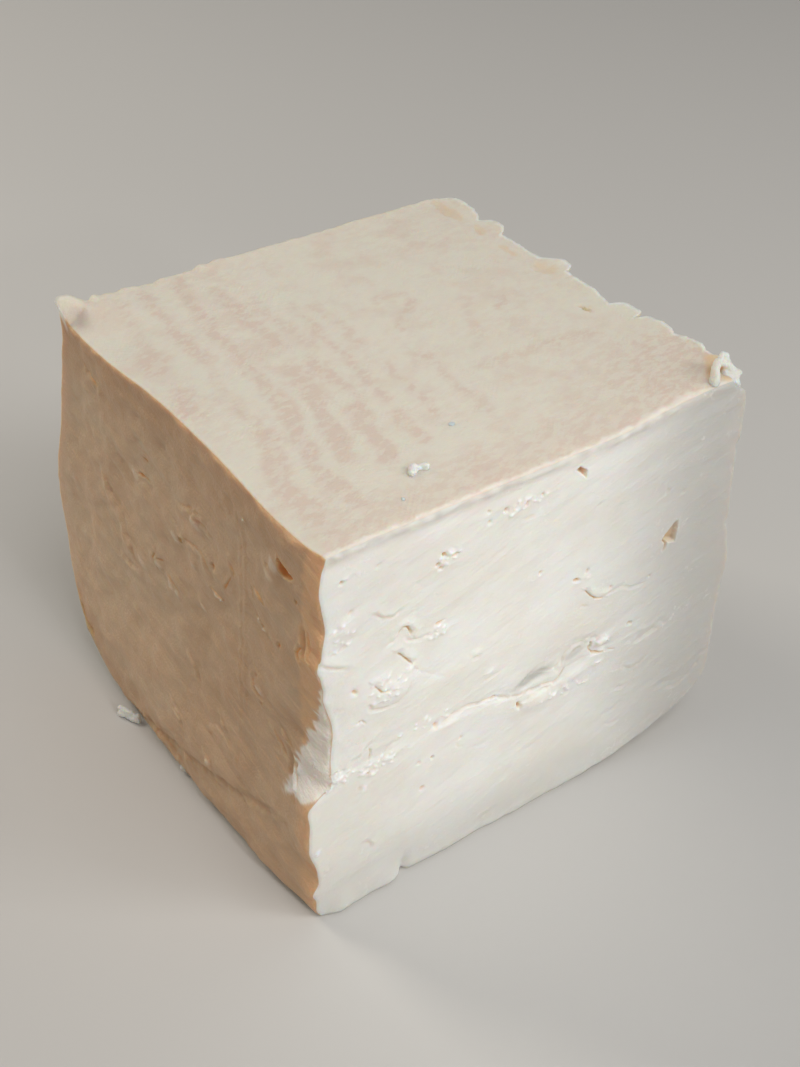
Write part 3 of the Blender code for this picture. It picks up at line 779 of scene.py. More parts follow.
@dataclass
class BlockForm:
    """The sagged block as the mould and the knife left it, without its small marks."""

    width: float = 102.5
    depth: float = 97.4
    height: float = 99.5
    back_sag: Triple = (13.2, 38.0, 1.2)  # at most, how high up, left on top
    right_sag: Triple = (7.4, 17.0, 1.7)
    right_top_draw: Triple = (3.6, 14.0, 34.0)  # in, between these places
    left_sag: Triple = (3.6, 11.0, 26.0)
    left_droop: Triple = (0.9, 0.6, 15.0)  # outwards, down, place
    front_sag: float = 0.7
    under_back: Pair = (34.0, 38.0)  # under the block, and up its wall
    under_right: Pair = (50.0, 18.0)
    upright: Pair = (5.0, 30.0)  # radius of the upright edge between the walls, top and foot
    left_round: Pair = (3.2, 3.6)
    front_round: Pair = (1.2, 1.6)
    dip: Triple = (3.3, 48.0, 92.0)  # depth, from, to
    dip_reach: Pair = (12.0, 3.4)  # along the cut, and at the back
    curl_size: tuple[float, float, float, float] = (2.5, 2.0, 5.8, 2.6)  # height, lean, reaches
    ledge: tuple[float, float, float, float] = (0.32, 20.0, 41.5, 5.0)  # proud, fade, height, dip
    bulge: tuple[float, float, float, float] = (1.9, 18.0, 39.0, 7.0)  # out, from, to, reach
    torn_in: Triple = (3.2, 35.0, 64.0)  # in, from, to
    grooves: tuple[Pair, ...] = ((83.0, 1.2), (62.0, 0.9))
    right_slack: Triple = (1.0, 55.0, 82.0)  # in, from, to
    back_slack: tuple[Pair, ...] = ((0.9, 64.0), (1.5, 26.0))  # in, how high up
    scallops: tuple[Triple, ...] = (  # out, how high up, half width
        (0.8, 99.0, 2.6),
        (-0.5, 91.5, 3.0),
        (0.8, 82.0, 3.4),
        (-0.9, 72.6, 1.8),
        (0.5, 66.6, 1.8),
        (-0.5, 34.0, 2.0),
        (0.5, 12.0, 2.0),
        (-1.0, 8.5, 1.6),
    )
    unevenness: Pair = (0.55, 21.0)

    def excess(self, x: float, y: float, z: float) -> float:
        """Over 1 where a point lies outside the mould's rounded edges and corner.

        Args:
            x: place from the left cut.
            y: place from the front cut.
            z: height.

        Returns:
            The point's distance from the mould's core, 1 on the rounded surface.
        """
        high = self.under_right[1] + (self.under_back[1] - self.under_right[1]) * smooth(y, 25.0, 85.0)
        low = max(0.0, 1.0 - z / high)
        upright = self.upright[0] + (self.upright[1] - self.upright[0]) * (1.0 - z / self.height) ** 2
        under = smooth(low, 0.0, 0.6)
        wide = self.under_right[0] + (self.under_back[0] - self.under_right[0]) * smooth(y, 5.0, 60.0)
        wide = upright + (wide - upright) * under
        deep = upright + (self.under_back[0] - upright) * under
        right = max(0.0, (x - self.width) / wide + 1.0)
        back = max(0.0, (y - self.depth) / deep + 1.0)
        return math.hypot(right, back, low)

    def mould_rounded(self, x: float, y: float, z: float) -> Triple:
        """Draws a point of the plain box in to the mould's rounded surface.

        Args:
            x: place from the left cut.
            y: place from the front cut.
            z: height.

        Returns:
            The moved point.
        """
        if self.excess(x, y, z) <= 1.0:
            return x, y, z
        inner = (
            min(x, self.width - self.under_right[0]),
            min(y, self.depth - self.under_back[0]),
            max(z, self.under_back[1]),
        )
        core = Vector(inner)
        ray = Vector((x, y, z)) - core
        inside, outside = 0.0, 1.0
        for _ in range(16):
            middle = 0.5 * (inside + outside)
            if self.excess(*(core + ray * middle)) > 1.0:
                outside = middle
            else:
                inside = middle
        return tuple(core + ray * inside)

    def rounded(self, x: float, y: float, z: float) -> Triple:
        """The plain box with its lower edges and the mould's upright edge rounded.

        Args:
            x: place from the left cut.
            y: place from the front cut.
            z: height.

        Returns:
            The moved point.
        """
        x, y, z = self.mould_rounded(x, y, z)
        out, low = quarter_round(1.0 - x / self.left_round[0], 1.0 - z / self.left_round[1])
        x, z = self.left_round[0] * (1.0 - out), self.left_round[1] * (1.0 - low)
        out, low = quarter_round(1.0 - y / self.front_round[0], 1.0 - z / self.front_round[1])
        y, z = self.front_round[0] * (1.0 - out), self.front_round[1] * (1.0 - low)
        return x, y, z

    def sag(self, z: float, widest: float) -> float:
        """How much of its full sag a wall has at a height."""
        share = min(1.0, max(0.0, (z - widest) / (self.height - widest)))
        return math.cos(0.5 * math.pi * share)

    def back_offset(self, z: float) -> float:
        """How far the back wall stands out."""
        most, widest, top = self.back_sag
        slack = sum(inwards * hump(z, height, 10.0) for inwards, height in self.back_slack)
        return top + most * self.sag(z, widest) ** 1.6 - slack

    def right_offset(self, y: float, z: float) -> float:
        """How far the right wall stands out, less the folds that the cloth pressed into it.

        Args:
            y: place from the front cut.
            z: height.

        Returns:
            Millimetres to the right.
        """
        most, widest, top = self.right_sag
        folds = sum(depth * hump(z, height, 1.3) for height, depth in self.grooves)
        inwards, start, end = self.right_top_draw
        drawn = inwards * smooth(y, start, end) * smooth(z, 70.0, self.height)
        slack, low, high = self.right_slack
        slack *= smooth(z, low - 5.0, low + 5.0) * (1.0 - smooth(z, high - 2.0, high + 2.0))
        corner = 0.8 * smooth(z, 84.0, 93.0) * hump(y, 0.0, 9.0)
        return top + most * self.sag(z, widest) - folds - drawn - slack + corner

    def left_offset(self, y: float, z: float) -> float:
        """How far the left cut bows out.

        Args:
            y: place from the front cut.
            z: height.

        Returns:
            Millimetres to the left.
        """
        most, high, spread = self.left_sag
        along = max(0.0, math.sin(math.pi * min(1.0, max(0.0, y / self.depth)))) ** 0.8
        behind = 0.9 * hump(y, 78.0, 20.0) * smooth(z, 60.0, self.height)
        droop = self.left_droop[0] * hump(y, self.left_droop[2], 18.0) * smooth(z, 66.0, self.height)
        return most * along * hump(z, high, spread) + behind + droop

    def front_offset(self, x: float, z: float) -> float:
        """How far the front cut stands out: a proud lower layer that fades towards the foot.

        Args:
            x: place from the left cut.
            z: height.

        Returns:
            Millimetres to the front.
        """
        proud, fades, high, dips = self.ledge
        line = high - dips * hump(x, 55.0, 9.0)
        line += 0.9 * ragged(x, 0.0, 50.0, 5.0) + 0.5 * ragged(x, 0.0, 51.0, 1.7)
        below = 1.0 - smooth(z, line - 0.6, line + 0.6)
        fade = smooth(z, line - fades, line) * (1.0 - smooth(x, 78.0, 95.0))
        foot = self.front_sag * (1.0 - smooth(z, 2.0, 40.0))
        right_top = -1.2 * smooth(x, 62.0, 95.0) * smooth(z, 70.0, self.height)
        return proud * below * fade + foot + right_top

    def edge_offset(self, x: float, y: float, z: float) -> float:
        """How far the front upright edge moves to the right, or to the left where it bulges.

        Args:
            x: place from the left cut.
            y: place from the front cut.
            z: height.

        Returns:
            Millimetres to the right.
        """
        most, low, high, reach = self.bulge
        bulge = smooth(z, low - 3.0, low + 5.0) * (1.0 - smooth(z, high - 4.0, high + 1.0))
        inwards, start, end = self.torn_in
        torn = inwards * smooth(z, start, start + 6.0) * (1.0 - smooth(z, end - 10.0, end + 4.0))
        scallops = sum(out * hump(z, at, wide) for out, at, wide in self.scallops)
        wide = math.exp(-(x * x + y * y) / (reach * reach))
        sharp = math.exp(-(x * x + y * y) / 9.0)
        torn *= math.exp(-x * x / 12.0 - y / 4.6)
        return scallops * sharp - most * bulge * wide + torn

    def curl(self, x: float, y: float) -> float:
        """Share of the curl at the skin's back left corner."""
        blunt = 1.0 - smooth(x, self.curl_size[2] - 3.0, self.curl_size[2] + 0.4)
        return blunt * smooth(y, self.depth - self.curl_size[3], self.depth + 0.2)

    def skin_rise(self, x: float, y: float) -> float:
        """How far the top lies above its even height.

        Args:
            x: place from the left cut.
            y: place from the front cut.

        Returns:
            Millimetres upwards.
        """
        depth, start, full = self.dip
        along, behind = self.dip_reach
        reach = along + (behind - along) * smooth(y, 78.0, 96.0)
        dip = depth * smooth(y, start, full) * hump(x, 0.0, reach)
        droop = self.left_droop[1] * hump(y, self.left_droop[2], 18.0) + 0.5 * hump(y, 47.0, 12.0)
        droop *= hump(x, 0.0, 6.0)
        back = (0.4 * hump(x, 21.0, 8.0) - 0.25 * hump(x, 7.5, 4.0)) * hump(y, self.depth, 12.0)
        front = 1.2 * smooth(x, 62.0, 92.0) * hump(y, 0.0, 20.0)
        even = front - dip - droop - back
        return even + (self.curl_size[0] - even) * self.curl(x, y)

    def formed(self, x: float, y: float, z: float) -> Vector:
        """Takes a point of the plain box to its place on the sagged block.

        Args:
            x: place from the left cut.
            y: place from the front cut.
            z: height.

        Returns:
            The moved point.
        """
        right, back, top = x / self.width, y / self.depth, z / self.height
        x, y, z = self.rounded(x, y, z)
        uneven = self.unevenness[0] * ragged(x, y, z, self.unevenness[1])
        moved_x = self.right_offset(y, z) * right - self.left_offset(y, z) * (1.0 - right)
        moved_x += self.edge_offset(x, y, z) - self.curl_size[1] * self.curl(x, y) * top**24
        moved_y = self.back_offset(z) * back - self.front_offset(x, z) * (1.0 - back)
        wall = top * (1.0 - top) * 4.0
        moved_x += uneven * wall * (2.0 * right - 1.0)
        moved_y += uneven * wall * (2.0 * back - 1.0)
        return Vector((x + moved_x, y + moved_y, z + self.skin_rise(x, y) * top**8))


@dataclass(frozen=True)
class Lobe:
    """One tongue of the ragged lip: where it starts, is full and ends along the edge."""

    start: float
    full_from: float
    full_to: float
    end: float
    reach: float

    def share(self, y: float) -> float:
        """How much of its reach it has at a place along the edge.

        Args:
            y: place from the front cut.

        Returns:
            The share, from 0 to 1.
        """
        if y <= self.start or y >= self.end:
            return 0.0
        if y < self.full_from:
            return math.sin(0.5 * math.pi * (y - self.start) / (self.full_from - self.start))
        if y > self.full_to:
            return math.sin(0.5 * math.pi * (self.end - y) / (self.end - self.full_to))
        return 1.0


@dataclass(frozen=True)
class Gap:
    """A hollow behind the lip, where it stands away from the block."""

    place: Pair
    size: Pair
    depth: float
    turn: float = 0.0

    def share(self, x: float, y: float) -> float:
        """How deep it is at a place on top, from 0 to 1."""
        across, along = seen_from(x, y, self.place, self.size, self.turn)
        return math.exp(-((across * across + along * along) ** 1.5))


@dataclass
class Lip:
    """The skin that was squeezed out over the right wall and tore into tongues."""

    lobes: tuple[Lobe, ...] = (
        Lobe(83.4, 89.5, 96.0, 101.0, 2.2),
        Lobe(74.8, 77.8, 81.2, 82.5, 2.6),
        Lobe(53.0, 55.4, 57.4, 61.4, 4.4),
        Lobe(37.4, 45.0, 53.0, 64.0, 1.6),
        Lobe(30.4, 31.5, 35.4, 37.4, 3.7),
        Lobe(19.6, 26.5, 28.9, 29.9, 3.5),
        Lobe(11.4, 14.4, 17.6, 22.0, 1.2),
        Lobe(-3.0, 2.0, 7.0, 11.5, 0.4),
    )
    gaps: tuple[Gap, ...] = (
        Gap((98.4, 90.4), (1.6, 5.6), 0.25),
        Gap((99.2, 79.2), (1.1, 2.4), 0.3, -12.0),
        Gap((100.6, 57.4), (2.0, 2.7), 0.5, 20.0),
        Gap((98.6, 68.0), (0.9, 3.0), 0.1),
        Gap((96.9, 39.0), (0.4, 1.6), 0.8, 18.0),
    )
    thickness: float = 1.2

    def reach(self, y: float) -> float:
        """How far the lip reaches out at a place along the edge."""
        out = max(lobe.reach * lobe.share(y) for lobe in self.lobes)
        out += 0.3 * ragged(y, 5.0, 0.0, 0.9) + 0.25 * ragged(y, 9.0, 0.0, 2.6)
        return out - 0.6 * hump(y, 73.4, 1.6) - 0.4 * hump(y, 83.0, 0.8)

    def gap(self, x: float, y: float) -> Pair:
        """How deep the hollows behind it are at a place on top, and their share.

        Args:
            x: place from the left cut.
            y: place from the front cut.

        Returns:
            The depth and the largest share.
        """
        x += 0.9 * ragged(x, y, 3.0, 1.3)
        y += 0.9 * ragged(x, y, 9.0, 1.3)
        shares = [gap.share(x, y) for gap in self.gaps]
        return sum(gap.depth * share for gap, share in zip(self.gaps, shares)), max(shares)


@dataclass
class Block:
    """The whole block: one closed body with its marks, its lip and its curled corner."""

    form: BlockForm = field(default_factory=BlockForm)
    lip: Lip = field(default_factory=Lip)
    front: CutFace = field(default_factory=lambda: CutFace(front_marks()))
    left: CutFace = field(default_factory=lambda: CutFace(left_marks()))
    skin: Skin = field(default_factory=Skin)
    cells: int = 30
    most_splits: int = 4
    fine_sides: Triple = (0.24, 0.42, 0.45)  # sharp marks, others, edges
    plain_sides: tuple[float, float, float, float] = (0.9, 0.95, 2.0, 4.0)  # cuts, skin, walls, base
    edge_radius: float = 0.9
    knife_lean: Pair = (0.93, 0.37)

    def side_of(self, face: bmesh.types.BMFace) -> Side:
        """The finished side that a face of the plain box belongs to.

        Args:
            face: the face.

        Returns:
            The side.
        """
        normal = face.normal
        if normal.z > 0.5:
            return Side.SKIN
        if normal.y < -0.5:
            return Side.FRONT
        if normal.x < -0.5:
            return Side.LEFT
        return Side.WALL

    def wanted_size(self, face: bmesh.types.BMFace) -> float:
        """How small a face of the plain box has to be for the detail that it carries.

        Args:
            face: the face.

        Returns:
            The wanted length of its sides.
        """
        x, y, z = face.calc_center_median()
        below = self.form.height - z
        place = self.form.formed(x, y, z)
        half = face.calc_perimeter() / 8.0 + 0.1
        sharp, marked, edge = self.fine_sides
        cut, skin, wall, base = self.plain_sides
        if face.normal.y < -0.5:
            if self.front.near(place.x, place.z, half, sharp=True):
                return sharp
            if self.front.near(place.x, place.z, half):
                return marked
            return edge if min(below, x) < 1.2 else cut
        if face.normal.x < -0.5:
            if self.left.near(place.y, place.z, half, sharp=True):
                return sharp
            if self.left.near(place.y, place.z, half) or (y < 7.0 and 30.0 < z < 98.0):
                return 0.5
            return edge if min(below, y, self.form.depth - y) < 1.2 else cut
        if face.normal.z > 0.5:
            if self.form.width - x < 7.0 or y < 2.4 or (x < 9.0 and y > 88.0):
                return edge
            return 0.5 if min(x, y, self.form.depth - y) < 1.2 else skin
        if face.normal.x > 0.5 and below < 5.0:
            return 0.5
        if face.normal.z < -0.5:
            return base
        return 0.7 if below < 1.4 else wall

    def plain_box(self) -> bmesh.types.BMesh:
        """The plain box, divided evenly at first and then more finely where it carries detail.

        Returns:
            The mesh, in millimetres.
        """
        bm = bmesh.new()
        bmesh.ops.create_cube(bm, size=1.0)
        bmesh.ops.subdivide_edges(bm, edges=bm.edges[:], cuts=self.cells - 1, use_grid_fill=True)
        size = Vector((self.form.width, self.form.depth, self.form.height))
        bmesh.ops.translate(bm, vec=(0.5, 0.5, 0.5), verts=bm.verts)
        bmesh.ops.scale(bm, vec=size, verts=bm.verts)
        bm.normal_update()
        for _ in range(self.most_splits):
            coarse = [face for face in bm.faces if face.calc_perimeter() > 5.2 * self.wanted_size(face)]
            if not coarse:
                break
            edges = list({edge for face in coarse for edge in face.edges})
            bmesh.ops.subdivide_edges(bm, edges=edges, cuts=1, use_grid_fill=True, use_single_edge=True)
            bm.normal_update()
        return bm

    def edge_rounded(self, x: float, y: float, z: float) -> Triple:
        """Softens the plain box's top edges and its front upright edge.

        Args:
            x: place from the left cut.
            y: place from the front cut.
            z: height.

        Returns:
            The moved point.
        """
        radius = self.edge_radius * (1.0 + 0.35 * ragged(x, y, z, 3.0))
        high = self.form.height
        out, up = quarter_round(1.0 - x / radius, 1.0 - (high - z) / radius)
        x, z = radius * (1.0 - out), high - radius * (1.0 - up)
        soft = 1.5 * radius
        out, up = quarter_round(1.0 - y / soft, 1.0 - (high - z) / soft)
        y, z = soft * (1.0 - out), high - soft * (1.0 - up)
        out, deep = quarter_round(1.0 - x / radius, 1.0 - y / radius)
        return radius * (1.0 - out), radius * (1.0 - deep), z

    def build(self) -> tuple[bmesh.types.BMesh, Vector, dict[str, list[float]]]:
        """Shapes the block.

        Returns:
            The mesh in millimetres, the middle of the plain form's footprint, and the shares of
            each kind of mark at each vertex.
        """
        bm = self.plain_box()
        for face in bm.faces:
            face.material_index = self.side_of(face).value
            face.smooth = True
        bm.verts.ensure_lookup_table()
        lows, highs = Vector((1e9,) * 3), Vector((-1e9,) * 3)
        shares: dict[str, list[float]] = {name: [] for name in SHARES}
        for vert in bm.verts:
            plain = Vector(vert.co)
            base = self.form.formed(*plain)
            lows = Vector(map(min, lows, base))
            highs = Vector(map(max, highs, base))
            place, relief = self.detailed(plain)
            vert.co = place
            for name, values in shares.items():
                values.append(getattr(relief, name))
        bm.normal_update()
        return bm, 0.5 * (lows + highs), shares

    def detailed(self, plain: Vector) -> tuple[Vector, Relief]:
        """Takes a point of the plain box to its final place.

        Args:
            plain: the point on the plain box.

        Returns:
            The place on the finished block, and the marks there.
        """
        form = self.form
        x, y, z = plain
        relief = Relief()
        inset = Vector((0.0, 0.0, 0.0))
        high = form.height
        grain = 0.16 * ragged(x, y, z, 6.5) + 0.07 * ragged(x, y, z, 1.9)
        grain += knife_waves(x + y, z, *self.knife_lean)
        place = form.formed(*self.edge_rounded(x, y, z))
        if y < AT_FACE and z > 0.5:
            relief = self.front.relief(place.x, place.z)
            fade = smooth(high - z, 0.0, 0.8) * smooth(z, 0.0, 2.0)
            # Painted shade: the front darkens towards its right end and its foot, and in a band just below
            # its top edge.
            right_and_foot_shade = max(smooth(x, 58.0, 98.0), 0.5 * (1.0 - smooth(z, 4.0, 22.0)))
            rim = (0.6 + 0.5 * ragged(x, z, 44.0, 2.6)) * (1.0 - smooth(high - z, 1.4, 3.2))
            relief.add(0.0, blush=max(right_and_foot_shade, rim))
            out = (relief.out + 0.62 * grain) * fade + self.front_band(x, z)
            inset.y -= out
        elif x < AT_FACE and z > 0.5:
            relief = self.left.relief(place.y, place.z)
            fade = smooth(high - z, 0.0, 0.8) * smooth(z, 0.0, 2.0) * smooth(y, 0.0, 0.8)
            fade *= 0.25 + 0.75 * smooth(form.depth - y, 1.0, 9.0)
            lumpy = 0.55 * ragged(y, z, 33.0, 9.0) + 0.32 * ragged(y, z, 34.0, 3.4)
            inset.x -= (1.2 * relief.out + 1.7 * grain + lumpy) * fade
            # Painted glow along the top edge and in the strip by the front upright edge, where light comes
            # through the thin curd; white is torn white curd and the skin's knob.
            edge = 0.7 * (1.0 - smooth(high - z, 0.3, 1.6 + 0.8 * ragged(y, 0.0, 70.0, 6.0)))
            knob = smooth(form.curl(x, y), 0.12, 0.35) * smooth(z, high - 5.0, high - 2.5)
            white = max(self.torn_white(y, z), knob)
            relief.add(0.0, glow=max(self.strip_glow(y, z), edge) * (1.0 - white), pale=white)
            mottle = 0.35 * ragged(y, z, 90.0, 9.0)
            # Painted shade on the left cut: darker towards its top edge, its foot, its middle and its front,
            # with a random mottle.
            left_shade = max(1.0 - smooth(high - z, 2.0, 22.0), 0.9 - smooth(z, 2.0, 24.0))
            left_shade = max(0.75 * left_shade, 0.5 * hump(y, 30.0, 22.0) * hump(z, 40.0, 30.0))
            left_shade = max(left_shade, 0.45 * (1.0 - smooth(y, 6.0, 56.0)))
            relief.add(0.0, blush=min(1.0, max(0.0, left_shade + mottle)))
        elif z > high - AT_FACE:
            inset.z += 0.07 * ragged(x, y, z, 1.9) + 0.08 * ragged(x, y, z, 6.5)
            inset.z += 0.4 * ragged(x, 0.0, 80.0, 2.3) * hump(y, 0.9, 1.0) * smooth(x, 0.0, 3.0)
            self.skin.mark(x, y, relief)
            # Painted shade on the skin's rounded front edge.
            relief.add(0.0, blush=(0.8 + 0.7 * ragged(x, y, 46.0, 3.0)) * (1.0 - smooth(y, 0.8, 2.0)))
        elif x > form.width - AT_FACE or y > form.depth - AT_FACE:
            outward = Vector((float(x > form.width - AT_FACE), float(y > form.depth - AT_FACE), 0.0))
            inset += outward * grain * smooth(high - z, 0.0, 3.0)
        place += inset
        place += self.lip_move(x, y, z, relief) + self.back_move(x, y, z)
        place += self.foot_move(x, y, z) + self.corner_move(x, y, z)
        return place, relief

    def corner_move(self, x: float, y: float, z: float) -> Vector:
        """The worn upper right corner of the front cut, where the flake tore off.

        Args:
            x: place from the left cut.
            y: place from the front cut.
            z: height.

        Returns:
            The move.
        """
        right = smooth(x, self.form.width - 4.5, self.form.width)
        high = smooth(z, self.form.height - 4.5, self.form.height)
        front = 1.0 - smooth(y, 1.0, 5.0)
        return Vector((-2.2, 0.4, -1.5)) * (right * high * front)

    def front_band(self, x: float, z: float) -> float:
        """The firm skin's edge along the top of the front cut, and the hollow just below it.

        Args:
            x: place from the left cut.
            z: height.

        Returns:
            Millimetres to the front.
        """
        high = self.form.height
        lean = 0.5 + 0.5 * ragged(x, 0.0, 40.0, 14.0)
        crumbly = 0.35 * ragged(x, z, 41.0, 2.1)
        return crumbly * hump(z, high - 0.9, 0.9) - (0.10 + 0.25 * lean) * hump(z, high - 3.4, 1.8)

    def streak(self, y: float, z: float) -> float:
        """The curd's torn fibres along the cut, about -1 to 1."""
        flat, lean = self.knife_lean
        return ragged(0.15 * (flat * y + lean * z), flat * z - lean * y, 12.0, 1.1)

    def strip_glow(self, y: float, z: float) -> float:
        """Share of the painted glow in the thin, see-through strip of the left cut along the front upright
        edge.

        Args:
            y: place from the front cut.
            z: height.

        Returns:
            The share, from 0 to 1.
        """
        edge = 4.8 + 1.9 * (1.0 - smooth(z, 82.0, 90.0)) + 0.9 * ragged(5.0, y, z, 2.6)
        above = (1.0 - smooth(y, edge - 1.0, edge + 0.8)) * smooth(z, 40.0, 48.0)
        low_edge = 4.0 + 1.2 * ragged(9.0, y, z, 5.0)
        below = 0.8 * (1.0 - smooth(y, low_edge - 2.2, low_edge + 1.6)) * (1.0 - smooth(z, 34.0, 38.0))
        return max(above, below)

    def torn_white(self, y: float, z: float) -> float:
        """Share of the white curd that shows where the front upright edge is torn.

        Args:
            y: place from the front cut.
            z: height.

        Returns:
            The share, from 0 to 1.
        """
        fibres = self.streak(y, z)
        reach = 8.6 - 0.25 * (z - 36.0) + 1.5 * fibres + 0.7 * ragged(y, z, 26.0, 1.7)
        foot = 37.0 - 0.65 * y + 0.8 * ragged(y, 0.0, 27.0, 2.0)
        torn = (1.0 - smooth(y, reach - 0.7, reach + 0.5)) * smooth(z, foot - 0.4, foot + 0.6)
        torn *= 1.0 - smooth(z, 66.0, 70.0)
        thin = (1.0 - smooth(y, 0.2, 1.0)) * smooth(z, 69.0, 70.0) * (1.0 - smooth(z, 72.0, 74.0))
        hairs = smooth(fibres, 0.25, 0.5) * (1.0 - smooth(y, 4.5, 6.5)) * hump(z, 64.0, 9.0)
        return max(0.95 * torn, 0.8 * thin, 0.6 * hairs)

    def lip_move(self, x: float, y: float, z: float, relief: Relief) -> Vector:
        """Draws the skin's right edge out into the ragged lip.

        Args:
            x: place from the left cut.
            y: place from the front cut.
            z: height.
            relief: what the marks there add up to, changed here.

        Returns:
            The move.
        """
        form, lip = self.form, self.lip
        below = form.height - z
        inward = form.width - x
        if inward > 8.0 or below > 4.0 or y < AT_FACE and below > 1.5:
            return Vector((0.0, 0.0, 0.0))
        out = lip.reach(y)
        ends = smooth(y, -0.5, 1.5) * smooth(form.depth - y, 0.0, 3.0)
        thick = 1.0 - smooth(below, lip.thickness - 0.4, lip.thickness + 0.5)
        near = (1.0 - smooth(inward, 0.0, 3.0)) * thick * ends
        on_top = 1.0 - smooth(below, 0.2, 1.2)
        rim = 0.2 + 0.3 * ragged(x, y, 5.0, 1.8)
        raised = rim * hump(inward, 0.2, 0.8) * on_top * ends
        depth, share = lip.gap(x + out * near, y)
        if below < AT_FACE:
            # Painted shade in the slit and in the gaps behind the lip; the torn rim is whitened as white curd
            # and painted highlight.
            slit = smooth(lip.gaps[-1].share(x + out * near, y), 0.3, 0.8)
            rim_white_and_highlight = smooth(0.9 + 0.5 * ragged(x, y, 8.0, 1.2) - inward, 0.0, 0.5) * smooth(y, 2.0, 6.0)
            relief.add(0.0, hollow=0.9 * slit, glow=0.45 * smooth(share, 0.12, 0.5), pale=rim_white_and_highlight)
        return Vector((out * near, 0.0, raised - depth * on_top))

    def back_move(self, x: float, y: float, z: float) -> Vector:
        """The slightly torn top of the back wall, with a nub beside the curled corner.

        Args:
            x: place from the left cut.
            y: place from the front cut.
            z: height.

        Returns:
            The move.
        """
        behind, below = self.form.depth - y, self.form.height - z
        if behind > 5.0 or below > 4.0:
            return Vector((0.0, 0.0, 0.0))
        near = (1.0 - smooth(behind, 0.0, 3.0)) * (1.0 - smooth(below, 0.0, 3.0))
        torn = 0.45 * ragged(x, 3.0, 0.0, 7.0) + 0.4 * ragged(x, 8.0, 0.0, 1.8)
        torn *= 1.0 - 0.6 * smooth(x, 34.0, 46.0)
        nub = 0.35 * hump(x, 7.4, 0.9) - 0.3 * hump(x, 5.9, 0.6)
        return Vector((0.0, 0.3 * near * torn, near * (torn + nub)))

    def foot_move(self, x: float, y: float, z: float) -> Vector:
        """The rippled foot of the front cut, with its nick.

        Args:
            x: place from the left cut.
            y: place from the front cut.
            z: height.

        Returns:
            The move.
        """
        if y > 3.0 or z > 12.0:
            return Vector((0.0, 0.0, 0.0))
        low = (1.0 - smooth(z, 0.0, 9.0)) * (1.0 - smooth(y, 1.0, 3.0))
        ripple = 0.5 * ragged(x, 0.0, 0.0, 9.0) + 0.25 * ragged(x, 7.0, 0.0, 3.5)
        chunk = 1.1 * smooth(x, 1.0, 6.0) * (1.0 - smooth(x, 17.0, 21.0))
        nick = 1.6 * hump(x, 21.0, 0.9)
        return Vector((0.0, -low * (ripple + chunk - nick), 0.0))


# ---------------------------------------------------------------------------------------------
# Meshes, places and materials
# ---------------------------------------------------------------------------------------------


@dataclass(frozen=True)
class Placement:
    """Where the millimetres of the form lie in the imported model's frame."""

    middle: Vector

    def shift(self) -> Vector:
        """The move, in millimetres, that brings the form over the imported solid."""
        low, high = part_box(NODE)
        target = 0.5 * (Vector(low) + Vector(high)) / MM
        return Vector((target.x - self.middle.x, target.y - self.middle.y, low[2] / MM))

    def finish(self, name: str, bm: bmesh.types.BMesh) -> bpy.types.Object:
        """Moves a mesh to its place, brings it to metres and makes an object of it.

        Args:
            name: the piece's name.
            bm: its mesh in millimetres of the form, freed here.

        Returns:
            The object, linked to the scene.
        """
        bmesh.ops.translate(bm, vec=self.shift(), verts=bm.verts)
        bmesh.ops.scale(bm, vec=(MM, MM, MM), verts=bm.verts)
        mesh = bpy.data.meshes.new(name)
        bm.to_mesh(mesh)
        bm.free()
        obj = bpy.data.objects.new(name, mesh)
        bpy.context.scene.collection.objects.link(obj)
        return obj


def write_share(obj: bpy.types.Object, name: str, values: list[float]) -> None:
    """Keeps a share at each vertex as an attribute that the finishes read."""
    obj.data.attributes.new(name, "FLOAT", "POINT").data.foreach_set("value", values)


